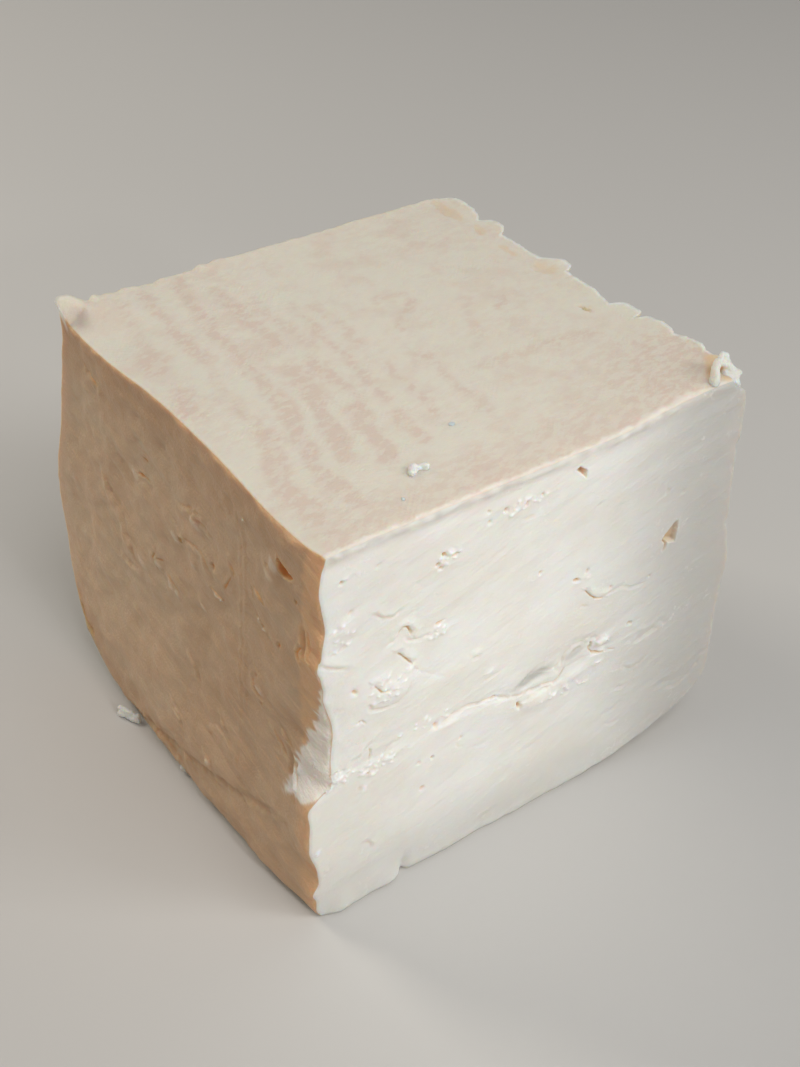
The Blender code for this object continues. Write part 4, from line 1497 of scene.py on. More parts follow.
class Tree:
    """A short way to place and link nodes in a node tree."""

    def __init__(self, tree: bpy.types.NodeTree) -> None:
        """Keeps the tree to which nodes are added."""
        self.tree = tree

    def node(self, kind: str, **settings: object) -> bpy.types.Node:
        """A new node with its settings.

        Args:
            kind: the node's type.
            settings: its settings by name.

        Returns:
            The node.
        """
        made = self.tree.nodes.new(kind)
        for name, value in settings.items():
            setattr(made, name, value)
        return made

    def feed(self, socket: bpy.types.NodeSocket, value: object) -> None:
        """Links a socket to another, or gives it a plain value.

        Args:
            socket: the input that is fed.
            value: another node's output, or a plain value.
        """
        if isinstance(value, bpy.types.NodeSocket):
            self.tree.links.new(value, socket)
        elif isinstance(value, tuple) and len(value) == 3 and socket.type == "RGBA":
            socket.default_value = (*value, 1.0)
        else:
            socket.default_value = value

    def math(self, operation: str, first: object, second: object = 0.0, clamp: bool = False) -> object:
        """A Math node's result.

        Args:
            operation: what the node does.
            first: its first input.
            second: its second input.
            clamp: True to keep the result from 0 to 1.

        Returns:
            The output.
        """
        made = self.node("ShaderNodeMath", operation=operation, use_clamp=clamp)
        self.feed(made.inputs[0], first)
        self.feed(made.inputs[1], second)
        return made.outputs[0]

    def mix(self, share: object, first: object, second: object, blend: str = "MIX") -> object:
        """A colour between two others.

        Args:
            share: how much of the second colour shows.
            first: the first colour.
            second: the second colour.
            blend: how the second is laid on.

        Returns:
            The output.
        """
        made = self.node("ShaderNodeMix", data_type="RGBA", blend_type=blend, clamp_factor=True)
        self.feed(made.inputs[0], share)
        self.feed(made.inputs[6], first)
        self.feed(made.inputs[7], second)
        return made.outputs[2]

    def ramp(self, value: object, start: float, end: float, low: float = 0.0, high: float = 1.0) -> object:
        """A soft ramp of a value between two limits.

        Args:
            value: the value.
            start: where the ramp starts.
            end: where it ends.
            low: the result at its start.
            high: the result at its end.

        Returns:
            The output.
        """
        made = self.node("ShaderNodeMapRange", interpolation_type="SMOOTHSTEP")
        for socket, number in zip(made.inputs, (value, start, end, low, high)):
            self.feed(socket, number)
        return made.outputs[0]

    def noise(self, vector: object, size: float, detail: float = 2.0, rough: float = 0.5) -> object:
        """Noise whose lumps measure about size, in millimetres.

        Args:
            vector: the coordinates.
            size: the lumps' size.
            detail: how many finer layers it has.
            rough: how strong they are.

        Returns:
            The output.
        """
        made = self.node("ShaderNodeTexNoise")
        self.feed(made.inputs["Vector"], vector)
        self.feed(made.inputs["Scale"], 1.0 / (size * MM))
        self.feed(made.inputs["Detail"], detail)
        self.feed(made.inputs["Roughness"], rough)
        return made.outputs["Fac"]

    def stretched(self, vector: object, turn: Triple, scale: Triple = (1.0, 1.0, 1.0)) -> object:
        """Coordinates that are turned, in degrees, and then scaled.

        Args:
            vector: the coordinates.
            turn: the turns about X, Y and Z.
            scale: the scales that follow.

        Returns:
            The output.
        """
        turned = self.node("ShaderNodeMapping", vector_type="POINT")
        self.feed(turned.inputs["Vector"], vector)
        self.feed(turned.inputs["Rotation"], tuple(math.radians(angle) for angle in turn))
        scaled = self.node("ShaderNodeMapping", vector_type="POINT")
        self.feed(scaled.inputs["Vector"], turned.outputs[0])
        self.feed(scaled.inputs["Scale"], scale)
        return scaled.outputs[0]

    def attribute(self, name: str) -> object:
        """A share that the mesh carries."""
        return self.node("ShaderNodeAttribute", attribute_name=name).outputs["Fac"]

    def place(self) -> object:
        """Object coordinates."""
        return self.node("ShaderNodeTexCoord").outputs["Object"]


def node_group(name: str, inputs: dict[str, float], outputs: dict[str, str]) -> bpy.types.NodeTree:
    """An empty shader group with its sockets.

    Args:
        name: the group's name.
        inputs: names and default values of its number inputs; it also takes a vector.
        outputs: names and socket types of its outputs.

    Returns:
        The node group.
    """
    group = bpy.data.node_groups.new(name, "ShaderNodeTree")
    face = group.interface
    face.new_socket("Vector", in_out="INPUT", socket_type="NodeSocketVector")
    for socket, value in inputs.items():
        made = face.new_socket(socket, in_out="INPUT", socket_type="NodeSocketFloat")
        made.default_value = value
    for socket, kind in outputs.items():
        face.new_socket(socket, in_out="OUTPUT", socket_type=kind)
    return group


def grain_group() -> bpy.types.NodeTree:
    """Fine curd grain: soft lumps, tiny holes and a slow drift of tone.

    Returns:
        The group.
    """
    group = node_group("curd_grain", {}, {"Height": "NodeSocketFloat", "Tone": "NodeSocketFloat"})
    tree = Tree(group)
    vector = tree.node("NodeGroupInput").outputs["Vector"]
    out = tree.node("NodeGroupOutput")
    fine = tree.noise(vector, 0.55, 3.0, 0.6)
    middle = tree.noise(vector, 2.2, 3.0, 0.55)
    holes = tree.node("ShaderNodeTexVoronoi")
    tree.feed(holes.inputs["Vector"], vector)
    tree.feed(holes.inputs["Scale"], 1.0 / (2.4 * MM))
    pinholes = tree.ramp(holes.outputs["Distance"], 0.0, 0.16, 0.0, 1.0)
    some = tree.ramp(tree.noise(vector, 7.0, 2.0), 0.5, 0.62)
    open_share = tree.math("MULTIPLY", some, tree.math("SUBTRACT", 1.0, pinholes))
    pinholes = tree.math("SUBTRACT", 1.0, open_share)
    lumps = tree.math("ADD", tree.math("MULTIPLY", fine, 0.25), tree.math("MULTIPLY", middle, 0.5))
    height = tree.math("ADD", lumps, tree.math("MULTIPLY", pinholes, 0.35))
    tree.feed(out.inputs["Height"], height)
    tree.feed(out.inputs["Tone"], tree.noise(vector, 16.0, 4.0, 0.55))
    return group


def knife_group() -> bpy.types.NodeTree:
    """Fine parallel scratches that a knife drew, along the vector's own X.

    Returns:
        The group.
    """
    group = node_group("knife_marks", {}, {"Height": "NodeSocketFloat", "Lines": "NodeSocketFloat"})
    tree = Tree(group)
    vector = tree.node("NodeGroupInput").outputs["Vector"]
    out = tree.node("NodeGroupOutput")
    fine = tree.noise(tree.stretched(vector, (0.0, 0.0, 0.0), (0.12, 1.0, 1.0)), 0.85, 3.0, 0.6)
    broad = tree.noise(tree.stretched(vector, (0.0, 0.0, 0.0), (0.2, 1.0, 1.0)), 3.2, 2.0, 0.5)
    height = tree.math("ADD", tree.math("MULTIPLY", fine, 0.5), tree.math("MULTIPLY", broad, 0.9))
    tree.feed(out.inputs["Height"], height)
    tree.feed(out.inputs["Lines"], tree.ramp(fine, 0.52, 0.72))
    return group


def cloth_group() -> bpy.types.NodeTree:
    """The faint print of a loosely woven cloth, with the fine nap that it leaves on the skin.

    Returns:
        The group.
    """
    group = node_group(
        "cloth_print", {"Pitch": 1.0}, {"Height": "NodeSocketFloat", "Print": "NodeSocketFloat"}
    )
    tree = Tree(group)
    given = tree.node("NodeGroupInput")
    out = tree.node("NodeGroupOutput")
    vector = given.outputs["Vector"]
    wander = tree.noise(vector, 7.0, 3.0)
    parts = tree.node("ShaderNodeSeparateXYZ")
    tree.feed(parts.inputs[0], vector)
    turns = tree.math("DIVIDE", 2.0 * math.pi / MM, given.outputs["Pitch"])
    drift = tree.math("MULTIPLY", wander, 16.0)
    along_y = tree.math("ADD", tree.math("MULTIPLY", parts.outputs[1], turns), drift)
    along_x = tree.math("ADD", tree.math("MULTIPLY", parts.outputs[0], turns), drift)
    woven = tree.math("MULTIPLY", tree.math("SINE", along_y), tree.math("SINE", along_x))
    worn = tree.ramp(tree.noise(vector, 6.0, 3.0, 0.6), 0.4, 0.7)
    woven = tree.math("MULTIPLY", woven, worn)
    nap = tree.noise(tree.stretched(vector, (0.0, 0.0, -11.0), (0.16, 1.0, 1.0)), 0.42, 3.0, 0.7)
    height = tree.math("ADD", tree.math("MULTIPLY", woven, 0.25), nap)
    tree.feed(out.inputs["Height"], height)
    mottle = tree.noise(tree.stretched(vector, (0.0, 0.0, -11.0), (0.55, 1.0, 1.0)), 1.5, 4.0, 0.62)
    tree.feed(out.inputs["Print"], tree.ramp(mottle, 0.36, 0.68))
    return group


@dataclass(frozen=True)
class Body:
    """What every curd finish shares: how moist it is and how far light travels inside."""

    roughness: float = 0.46
    scatter: float = 0.55
    scatter_radius: Triple = (5.2, 2.6, 1.3)
    scatter_scale: float = 0.001
    specular: float = 0.42


@dataclass
class Finish:
    """A finish for one of the block's sides, with the groups that it is built from."""

    name: str
    colour: Colour
    second: Colour
    body: Body = field(default_factory=Body)
    # Colours of the marks: painted shade in pits and creases, painted light through thin curd, and white curd
    # with painted glints.
    hollow_shade_colour: Colour = (0.58, 0.46, 0.23)
    glow_colour: Colour = (0.66, 0.38, 0.18)
    pale_and_glint_colour: Colour = (0.90, 0.86, 0.76)

    def begin(self) -> tuple[bpy.types.Material, Tree, bpy.types.Node]:
        """A new material with its shader and the values that are the same all over.

        Returns:
            The material, its tree and its shader.
        """
        material = bpy.data.materials.new(self.name)
        material.use_nodes = True
        tree = Tree(material.node_tree)
        shader = material.node_tree.nodes["Principled BSDF"]
        even = {
            "Roughness": self.body.roughness,
            "Specular IOR Level": self.body.specular,
            "Subsurface Weight": self.body.scatter,
            "Subsurface Radius": self.body.scatter_radius,
            "Subsurface Scale": self.body.scatter_scale,
        }
        for socket, value in even.items():
            shader.inputs[socket].default_value = value
        return material, tree, shader

    def marked(self, tree: Tree, colour: object) -> object:
        """Tints a colour by the marks that the mesh carries: white curd and painted glints, painted light
        through thin curd, and painted shade in hollows.
        """
        colour = tree.mix(tree.attribute("pale"), colour, self.pale_and_glint_colour)
        colour = tree.mix(tree.attribute("glow"), colour, self.glow_colour)
        return tree.mix(tree.attribute("hollow"), colour, self.hollow_shade_colour)

    def rough(self, tree: Tree, shader: bpy.types.Node, tone: object, wetter: object = 0.0) -> None:
        """Links the roughness: moist and shiny on wet marks, duller elsewhere.

        Args:
            tree: the material's tree.
            shader: its shader.
            tone: a slow drift, of about 0 to 1.
            wetter: how wet it is apart from its marks.
        """
        base = tree.math("ADD", self.body.roughness - 0.08, tree.math("MULTIPLY", tone, 0.16))
        wet = tree.math("MULTIPLY", tree.attribute("wet"), -0.14)
        wet = tree.math("ADD", wet, tree.math("MULTIPLY", wetter, -0.30))
        tree.feed(shader.inputs["Roughness"], tree.math("ADD", base, wet, clamp=True))

    def bump(self, tree: Tree, shader: bpy.types.Node, height: object, depth: float) -> None:
        """Links a height to the shader's normal.

        Args:
            tree: the material's tree.
            shader: its shader.
            height: the height, of about 0 to 1.
            depth: how many millimetres a height of 1 stands for.
        """
        made = tree.node("ShaderNodeBump")
        tree.feed(made.inputs["Strength"], 1.0)
        tree.feed(made.inputs["Distance"], depth * MM)
        tree.feed(made.inputs["Height"], height)
        tree.feed(shader.inputs["Normal"], made.outputs[0])


@dataclass
class Groups:
    """The shared node groups, made once."""

    grain: bpy.types.NodeTree
    knife: bpy.types.NodeTree
    cloth: bpy.types.NodeTree

    @staticmethod
    def make() -> "Groups":
        """Makes every group."""
        return Groups(grain_group(), knife_group(), cloth_group())

    def place(self, tree: Tree, group: bpy.types.NodeTree, vector: object, **values: float) -> bpy.types.Node:
        """Puts a group into a tree with its values.

        Args:
            tree: the tree.
            group: the group.
            vector: its coordinates.
            values: its other inputs by name.

        Returns:
            The node.
        """
        made = tree.node("ShaderNodeGroup", node_tree=group)
        tree.feed(made.inputs["Vector"], vector)
        for name, value in values.items():
            tree.feed(made.inputs[name], value)
        return made


@dataclass
class CutFinish(Finish):
    """Curd as a knife left it: smooth, moist, with scratches along the cut, painted shade and painted glints.
    """

    turn: Triple = (0.0, 18.0, 0.0)
    depth: float = 0.5
    moist: float = 0.5
    # The colour of the painted shade on a cut.
    blush_colour: Colour = (0.70, 0.67, 0.61)
    lines: float = 0.12
    lines_colour: Colour = (0.92, 0.90, 0.84)

    def make(self, groups: Groups) -> bpy.types.Material:
        """Builds the material.

        Args:
            groups: the shared groups.

        Returns:
            The material.
        """
        material, tree, shader = self.begin()
        place = tree.place()
        grain = groups.place(tree, groups.grain, place)
        knife = groups.place(tree, groups.knife, tree.stretched(place, self.turn))
        share = tree.ramp(grain.outputs["Tone"], 0.38, 0.64)
        colour = tree.mix(share, self.colour, self.second)
        streaks = tree.math("MULTIPLY", knife.outputs["Lines"], self.lines)
        colour = tree.mix(streaks, colour, self.lines_colour)
        colour = tree.mix(tree.attribute("blush"), colour, self.blush_colour)
        moist = tree.ramp(tree.noise(place, 9.0, 2.0), 0.52, 0.66, 0.0, self.moist)
        moist = tree.math("MAXIMUM", moist, tree.attribute("wet"))
        # Painted glints: moist specks are whitened, and also made glossier and raised.
        glint_specks = tree.math("MULTIPLY", moist, tree.ramp(tree.noise(place, 1.4, 2.0), 0.56, 0.70))
        colour = tree.mix(tree.math("MULTIPLY", glint_specks, 0.7), colour, self.pale_and_glint_colour)
        tree.feed(shader.inputs["Base Color"], self.marked(tree, colour))
        self.rough(tree, shader, grain.outputs["Tone"], glint_specks)
        height = tree.math("MULTIPLY", grain.outputs["Height"], 0.6)
        height = tree.math("ADD", height, knife.outputs["Height"])
        self.bump(tree, shader, tree.math("ADD", height, tree.math("MULTIPLY", glint_specks, 0.5)), self.depth)
        return material


@dataclass
class SkinFinish(Finish):
    """The pressed skin: a fine nap, a mottled cloth print, and blushed folds."""

    def make(self, groups: Groups) -> bpy.types.Material:
        """Builds the material.

        Args:
            groups: the shared groups.

        Returns:
            The material.
        """
        material, tree, shader = self.begin()
        place = tree.place()
        grain = groups.place(tree, groups.grain, place)
        cloth = groups.place(tree, groups.cloth, place, Pitch=1.3)
        mottle = cloth.outputs["Print"]
        blush = tree.math("MULTIPLY", tree.attribute("blush"), tree.ramp(mottle, 0.0, 0.7, 0.45, 1.15))
        patches = tree.ramp(tree.noise(place, 11.0, 4.0, 0.62), 0.47, 0.66, 0.0, 0.45)
        speckle = tree.math("MULTIPLY", mottle, tree.ramp(grain.outputs["Tone"], 0.40, 0.62, 0.10, 0.42))
        pink = tree.math("ADD", tree.math("MAXIMUM", blush, patches), speckle, clamp=True)
        colour = tree.mix(pink, self.colour, self.second)
        tree.feed(shader.inputs["Base Color"], self.marked(tree, colour))
        self.rough(tree, shader, grain.outputs["Tone"])
        woven = tree.math("MULTIPLY", cloth.outputs["Height"], 0.9)
        height = tree.math("ADD", grain.outputs["Height"], woven)
        self.bump(tree, shader, height, 0.15)
        return material


@dataclass
class WallFinish(Finish):
    """A side that set against the mould's cloth: dimpled print on a soft, uneven ground."""

    def make(self, groups: Groups) -> bpy.types.Material:
        """Builds the material.

        Args:
            groups: the shared groups.

        Returns:
            The material.
        """
        material, tree, shader = self.begin()
        place = tree.place()
        grain = groups.place(tree, groups.grain, place)
        parts = tree.node("ShaderNodeSeparateXYZ")
        tree.feed(parts.inputs[0], place)
        joined = tree.node("ShaderNodeCombineXYZ")
        tree.feed(joined.inputs[0], tree.math("ADD", parts.outputs[0], parts.outputs[1]))
        tree.feed(joined.inputs[1], parts.outputs[2])
        cloth = groups.place(tree, groups.cloth, joined.outputs[0], Pitch=1.1)
        share = tree.ramp(grain.outputs["Tone"], 0.36, 0.66)
        colour = tree.mix(share, self.colour, self.second)
        colour = tree.mix(tree.math("MULTIPLY", cloth.outputs["Print"], 0.18), colour, self.second)
        tree.feed(shader.inputs["Base Color"], self.marked(tree, colour))
        self.rough(tree, shader, grain.outputs["Tone"])
        woven = tree.math("MULTIPLY", cloth.outputs["Height"], 0.4)
        height = tree.math("ADD", grain.outputs["Height"], woven)
        self.bump(tree, shader, height, 0.2)
        return material


@dataclass
class Palette:
    """Every finish of the piece, in the order of the block's sides."""

    groups: Groups

    def skin(self) -> bpy.types.Material:
        """The cream skin on top.

        Returns:
            The material.
        """
        finish = SkinFinish(
            "skin",
            (0.785, 0.745, 0.645),
            (0.73, 0.62, 0.53),
            # Painted shade of the flake's shadow and of the lip's gaps, orange where light comes through.
            glow_colour=(0.78, 0.60, 0.40),
            pale_and_glint_colour=(0.86, 0.84, 0.78),
        )
        return finish.make(self.groups)

    def front(self) -> bpy.types.Material:
        """The white front cut.

        Returns:
            The material.
        """
        finish = CutFinish(
            "cut_white",
            (0.855, 0.845, 0.80),
            (0.825, 0.80, 0.735),
            pale_and_glint_colour=(0.95, 0.945, 0.92),
            # Painted shade: orange-brown in pits, and grey towards the right end, the foot and below the top
            # edge.
            hollow_shade_colour=(0.72, 0.50, 0.26),
            blush_colour=(0.56, 0.545, 0.51),
            depth=0.28,
            moist=0.35,
        )
        return finish.make(self.groups)

    def left(self) -> bpy.types.Material:
        """The left cut, painted as a shaded, warm-lit copy of the white cut.

        Returns:
            The material.
        """
        # Painted shade: the white curd shaded and lit warm, with orange painted light in its pits and strip.
        finish = CutFinish(
            "cut_painted_shade",
            (0.68, 0.475, 0.305),
            (0.65, 0.475, 0.315),
            glow_colour=(0.74, 0.47, 0.26),
            pale_and_glint_colour=(0.92, 0.89, 0.82),
            turn=(-22.0, 0.0, -90.0),
            depth=0.75,
            moist=0.0,
            hollow_shade_colour=(1.0, 0.52, 0.13),
            blush_colour=(0.55, 0.35, 0.205),
            lines=0.10,
            lines_colour=(0.80, 0.70, 0.58),
        )
        return finish.make(self.groups)

    def wall(self) -> bpy.types.Material:
        """The mould's walls."""
        return WallFinish("mould_wall", (0.80, 0.74, 0.62), (0.74, 0.66, 0.54)).make(self.groups)

    def torn(self) -> bpy.types.Material:
        """Torn curd, as on the flake and the crumbs.

        Returns:
            The material.
        """
        finish = CutFinish(
            "torn_curd",
            (0.82, 0.805, 0.755),
            (0.78, 0.745, 0.67),
            glow_colour=(0.66, 0.48, 0.31),
        )
        return finish.make(self.groups)

    def all(self) -> list[bpy.types.Material]:
        """The materials in slot order."""
        return [self.skin(), self.front(), self.left(), self.wall()]


def dress_block(palette: Palette) -> Placement:
    """Builds and dresses the block.

    Args:
        palette: the finishes.

    Returns:
        The placement that the other pieces share.
    """
    bm, middle, shares = Block().build()
    placement = Placement(middle)
    block = placement.finish("block", bm)
    for name, values in shares.items():
        write_share(block, name, values)
    for material in palette.all():
        block.data.materials.append(material)
    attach(block, "root")
    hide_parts(NODE)
    LOG.info("block: %d vertices, %d faces", len(block.data.vertices), len(block.data.polygons))
    return placement


@dataclass
class TornPieces:
    """The torn flake and the loose crumbs, as pieces of their own."""

    placement: Placement
    material: bpy.types.Material
    form: BlockForm = field(default_factory=BlockForm)

    def finish(self, name: str, bm: bmesh.types.BMesh, web: Pair = (100.0, 0.0)) -> bpy.types.Object:
        """Makes a finished piece of a mesh.

        Args:
            name: the piece's name.
            bm: its mesh in millimetres of the form.
            web: behind the first of these and below the second, it is thin enough that light through it is
                painted as glow.

        Returns:
            The piece.
        """
        for face in bm.faces:
            face.smooth = True
        # Painted glow where the piece is thin and light comes through it.
        behind, below = web
        glow = [
            smooth(vert.co.y - behind, 0.0, 0.5) * (1.0 - smooth(vert.co.z - below, 0.0, 0.6))
            for vert in bm.verts
        ]
        piece = self.placement.finish(name, bm)
        for share in SHARES:
            write_share(piece, share, glow if share == "glow" else [0.3 * (share == "wet")] * len(glow))
        piece.data.materials.append(self.material)
        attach(piece, "root")
        LOG.info("%s: %d faces", piece.name, len(piece.data.polygons))
        return piece

    def top(self, x: float, y: float) -> float:
        """Height of the skin at a place."""
        return self.form.height + self.form.skin_rise(x, y)

    def lumps(
        self, runs: Iterable[Iterable[tuple[Triple, float]]], voxel: float, rough: float
    ) -> bmesh.types.BMesh:
        """Fuses runs of overlapping lumps into one closed, uneven mesh.

        Args:
            runs: runs of places, each with the radius that the curd has there.
            voxel: size of the grid on which they are fused.
            rough: how far the surface is uneven, in millimetres.

        Returns:
            The mesh.
        """
        bm = bmesh.new()
        for run in runs:
            stops = [(Vector(place), radius) for place, radius in run]
            for (here, size), (there, next_size) in zip(stops, stops[1:] or stops):
                steps = max(1, math.ceil((there - here).length / (0.3 * min(size, next_size))))
                for step in range(steps + 1):
                    share = step / steps
                    at = Matrix.Translation(here.lerp(there, share))
                    radius = size + (next_size - size) * share
                    bmesh.ops.create_icosphere(bm, subdivisions=2, radius=radius, matrix=at)
        fused = bpy.data.meshes.new("fused")
        bm.to_mesh(fused)
        holder = bpy.data.objects.new("fused", fused)
        bpy.context.scene.collection.objects.link(holder)
        remesh = holder.modifiers.new("fuse", "REMESH")
        remesh.mode = "VOXEL"
        remesh.voxel_size = voxel
        bm.clear()
        bm.from_object(holder, bpy.context.evaluated_depsgraph_get())
        bpy.data.objects.remove(holder)
        bpy.data.meshes.remove(fused)
        bm.normal_update()
        moves = [v.normal * rough * (ragged(*v.co, 1.5) + 0.5 * ragged(*v.co, 0.6)) for v in bm.verts]
        for vert, move in zip(bm.verts, moves):
            vert.co += move
        return bm

    def flake(self) -> bpy.types.Object:
        """The torn flake that stands in an arch at the front right corner.

        Returns:
            The piece.
        """
        leg = (
            ((96.5, 2.5, 99.6), 1.1),
            ((96.7, 2.8, 101.2), 1.15),
            ((97.3, 3.5, 103.0), 0.95),
            ((98.9, 4.7, 103.7), 0.85),
            ((100.3, 5.3, 103.1), 0.9),
        )
        tongue = (
            ((100.4, 5.4, 103.0), 0.7),
            ((101.2, 5.8, 104.4), 0.6),
            ((102.5, 5.8, 103.8), 0.6),
            ((102.2, 5.4, 102.6), 0.8),
        )
        body = (
            ((100.6, 5.2, 102.8), 0.8),
            ((102.0, 4.7, 102.0), 1.0),
            ((103.1, 4.2, 100.8), 1.1),
            ((103.3, 3.4, 99.2), 1.3),
            ((103.5, 2.5, 98.3), 1.0),
        )
        sheet = [
            (
                ((101.5 - 1.5 * down, 4.6 - 2.9 * down, 101.0 - 2.6 * down), 0.8),
                ((103.3 + 0.1 * down, 4.1 - 2.5 * down, 100.6 - 3.2 * down), 0.9),
            )
            for down in (0.0, 0.2, 0.4, 0.6)
        ]
        foot = (((100.6, 2.7, 98.9), 0.6), ((102.0, 2.5, 98.6), 0.6), ((103.2, 2.4, 98.2), 0.6))
        knob = (((103.6, 3.8, 100.4), 0.9), ((104.5, 3.2, 100.2), 0.7))
        webs = [
            (((99.0, 5.2, height), 0.42), ((101.0, 5.5, height), 0.42), ((102.8, 5.2, height), 0.5))
            for height in (98.8, 99.5, 100.2, 100.9, 101.6, 102.3)
        ]
        bm = self.lumps((leg, tongue, body, knob, foot, *sheet, *webs), 0.22, 0.2)
        return self.finish("flake", bm, (4.5, 102.3))

    def crumb(self, place: Triple, size: Triple, turn: float, seed: float) -> bmesh.types.BMesh:
        """An irregular crumb of curd.

        Args:
            place: its middle.
            size: its half lengths.
            turn: its turn about the vertical, in degrees.
            seed: what makes its lumps differ from another's.

        Returns:
            Its mesh.
        """
        bm = bmesh.new()
        bmesh.ops.create_icosphere(bm, subdivisions=3, radius=1.0)
        for vert in bm.verts:
            lump = 0.35 * ragged(vert.co.x + seed, vert.co.y, vert.co.z, 0.9)
            vert.co *= 1.0 + lump + 0.12 * ragged(vert.co.x, vert.co.y + seed, vert.co.z, 0.35)
        bmesh.ops.scale(bm, vec=size, verts=bm.verts)
        turned = Matrix.Rotation(math.radians(turn), 3, "Z")
        bmesh.ops.rotate(bm, cent=(0, 0, 0), matrix=turned, verts=bm.verts)
        bmesh.ops.translate(bm, vec=place, verts=bm.verts)
        return bm

    def bent_crumb(self) -> bpy.types.Object:
        """The small bent crumb that lies on the skin.

        Returns:
            The piece.
        """
        high = self.top(29.2, 11.8) + 0.5
        run = (
            ((27.1, 11.4, high), 0.85),
            ((28.3, 12.2, high + 0.1), 0.9),
            ((29.3, 12.1, high), 0.65),
            ((30.4, 11.6, high + 0.05), 0.85),
        )
        return self.finish("bent_crumb", self.lumps((run,), 0.2, 0.26))

    def sliver(self) -> bpy.types.Object:
        """The sliver of curd that lies at the foot of the left cut.

        Returns:
            The piece.
        """
        low = (((-5.9, 75.4, 0.8), 0.75), ((-4.9, 73.4, 0.8), 0.8), ((-3.6, 70.9, 0.7), 0.65))
        high = (((-5.5, 75.9, 1.9), 0.7), ((-4.6, 73.8, 1.8), 0.7), ((-3.2, 71.4, 1.4), 0.6))
        middle = (((-5.7, 75.6, 1.3), 0.6), ((-3.4, 71.1, 1.0), 0.6))
        return self.finish("sliver", self.lumps((low, middle, high), 0.22, 0.3))

    def small_crumbs(self) -> None:
        """The other crumbs: two specks on the skin and two flecks on the left cut."""
        top = self.top(40.0, 20.0)
        left = self.form.left_offset
        spots = {
            "speck_middle": ((43.4, 20.5, top + 0.05), (0.8, 0.5, 0.25), 20.0),
            "speck_front": ((21.4, 6.3, top + 0.05), (0.45, 0.35, 0.3), 60.0),
            "fleck_foot": ((-left(51.2, 1.0) + 0.9, 51.2, 1.5), (0.7, 0.9, 0.8), 0.0),
            "fleck_back": ((-left(87.1, 10.4) - 0.1, 87.1, 10.4), (0.45, 1.2, 0.8), 8.0),
        }
        for seed, (name, (place, size, turn)) in enumerate(spots.items()):
            self.finish(name, self.crumb(place, size, turn, 3.0 * seed))

    def build(self) -> None:
        """Builds every torn piece."""
        self.flake()
        self.bent_crumb()
        self.sliver()
        self.small_crumbs()


@dataclass(frozen=True)
class Lamp:
    """A soft light: its place and side in metres, its power in watts and its colour."""

    name: str
    place: Triple
    side: float
    power: float
    colour: Colour = (1.0, 1.0, 1.0)


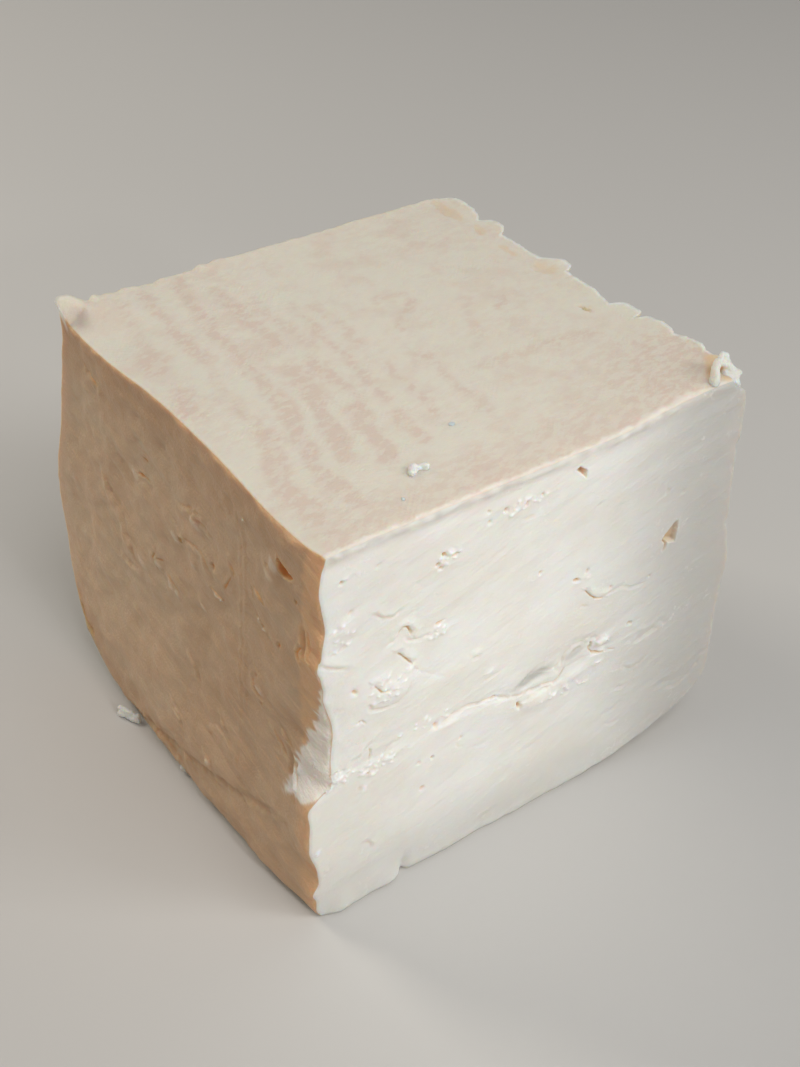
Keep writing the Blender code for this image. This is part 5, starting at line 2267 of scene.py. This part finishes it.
@dataclass
class Studio:
    """The plain pale floor, the soft lights and the camera."""

    camera_place: Triple = (-170.0, -223.0, 269.7)
    yaw: float = 38.29
    pitch: float = 38.81
    roll: float = 3.76
    lens: float = 52.13
    sensor: float = 36.0
    clip: Pair = (0.01, 20.0)  # metres
    floor_half: float = 3.0  # metres
    floor_colour: Colour = (0.62, 0.61, 0.59)
    sky_colour: Colour = (0.97, 0.96, 0.95)
    sky_strength: float = 0.24
    aim: Triple = (0.0, 0.0, 0.05)
    lamps: tuple[Lamp, ...] = (
        Lamp("key", (0.62, -0.72, 0.60), 0.35, 2.85, (1.0, 0.995, 0.98)),
        Lamp("top", (-0.02, -0.38, 0.72), 0.4, 1.85, (1.0, 0.985, 0.96)),
        Lamp("rake", (-0.30, 0.66, 0.58), 0.26, 2.4, (1.0, 0.93, 0.82)),
        Lamp("side", (-0.85, 0.25, 0.30), 0.6, 0.4, (1.0, 0.76, 0.52)),
        Lamp("glint", (0.42, -0.86, 0.12), 0.05, 0.6),
    )
    pool: Lamp = Lamp("pool", (-0.02, -0.70, 0.42), 0.06, 8.0)
    pool_aim: Triple = (-0.02, -0.055, 0.06)
    pool_cone: float = 13.0  # degrees

    def camera(self) -> None:
        """The camera, looking down at the block's front left edge."""
        yaw, pitch, roll = (math.radians(angle) for angle in (self.yaw, self.pitch, self.roll))
        ahead = Vector((math.sin(yaw) * math.cos(pitch), math.cos(yaw) * math.cos(pitch), -math.sin(pitch)))
        right = Vector((math.cos(yaw), -math.sin(yaw), 0.0))
        up = right.cross(ahead)
        across = math.cos(roll) * right + math.sin(roll) * up
        upward = math.cos(roll) * up - math.sin(roll) * right
        data = bpy.data.cameras.new("camera")
        data.lens = self.lens
        data.sensor_width = self.sensor
        data.clip_start, data.clip_end = self.clip
        camera = bpy.data.objects.new("camera", data)
        turned = Matrix((across, upward, -ahead)).transposed().to_4x4()
        camera.matrix_world = Matrix.Translation(Vector(self.camera_place) * MM) @ turned
        bpy.context.scene.collection.objects.link(camera)
        bpy.context.scene.camera = camera

    def floor(self) -> None:
        """A wide, plain floor."""
        bm = bmesh.new()
        bmesh.ops.create_grid(bm, x_segments=4, y_segments=4, size=self.floor_half)
        mesh = bpy.data.meshes.new("floor")
        bm.to_mesh(mesh)
        bm.free()
        floor = bpy.data.objects.new("floor", mesh)
        material = bpy.data.materials.new("floor")
        material.use_nodes = True
        shader = material.node_tree.nodes["Principled BSDF"]
        shader.inputs["Base Color"].default_value = (*self.floor_colour, 1.0)
        shader.inputs["Roughness"].default_value = 0.8
        mesh.materials.append(material)
        bpy.context.scene.collection.objects.link(floor)

    def hang(self, data: bpy.types.Light, place: Triple, aim: Triple) -> None:
        """Hangs a lamp at a place, in metres, and turns it to what it lights.

        Args:
            data: the light.
            place: where it hangs, in metres.
            aim: what it faces, in metres.
        """
        light = bpy.data.objects.new(data.name, data)
        light.location = Vector(place)
        light.rotation_euler = (Vector(aim) - Vector(place)).to_track_quat("-Z", "Y").to_euler()
        bpy.context.scene.collection.objects.link(light)

    def lights(self) -> None:
        """The soft square lights, and a small lamp that fades out towards the rim of its cone."""
        for lamp in self.lamps:
            data = bpy.data.lights.new(lamp.name, "AREA")
            data.shape = "SQUARE"
            data.size = lamp.side
            data.energy = lamp.power
            data.color = lamp.colour
            self.hang(data, lamp.place, self.aim)
        pool = bpy.data.lights.new(self.pool.name, "SPOT")
        pool.spot_size = math.radians(self.pool_cone)
        pool.spot_blend = 1.0
        pool.shadow_soft_size = self.pool.side
        pool.energy = self.pool.power
        self.hang(pool, self.pool.place, self.pool_aim)

    def world(self) -> None:
        """Even pale light from all round."""
        world = bpy.data.worlds.new("studio")
        world.use_nodes = True
        background = world.node_tree.nodes["Background"]
        background.inputs["Color"].default_value = (*self.sky_colour, 1.0)
        background.inputs["Strength"].default_value = self.sky_strength
        bpy.context.scene.world = world

    def build(self) -> None:
        """Sets up the whole studio."""
        self.camera()
        self.floor()
        self.world()
        self.lights()
        bpy.context.scene.view_settings.view_transform = "Standard"


def main() -> None:
    """Builds every piece in order."""
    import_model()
    Studio().build()
    LOG.info("studio: floor, lights and camera")
    palette = Palette(Groups.make())
    TornPieces(dress_block(palette), palette.torn()).build()


if __name__ == "__main__":
    main()
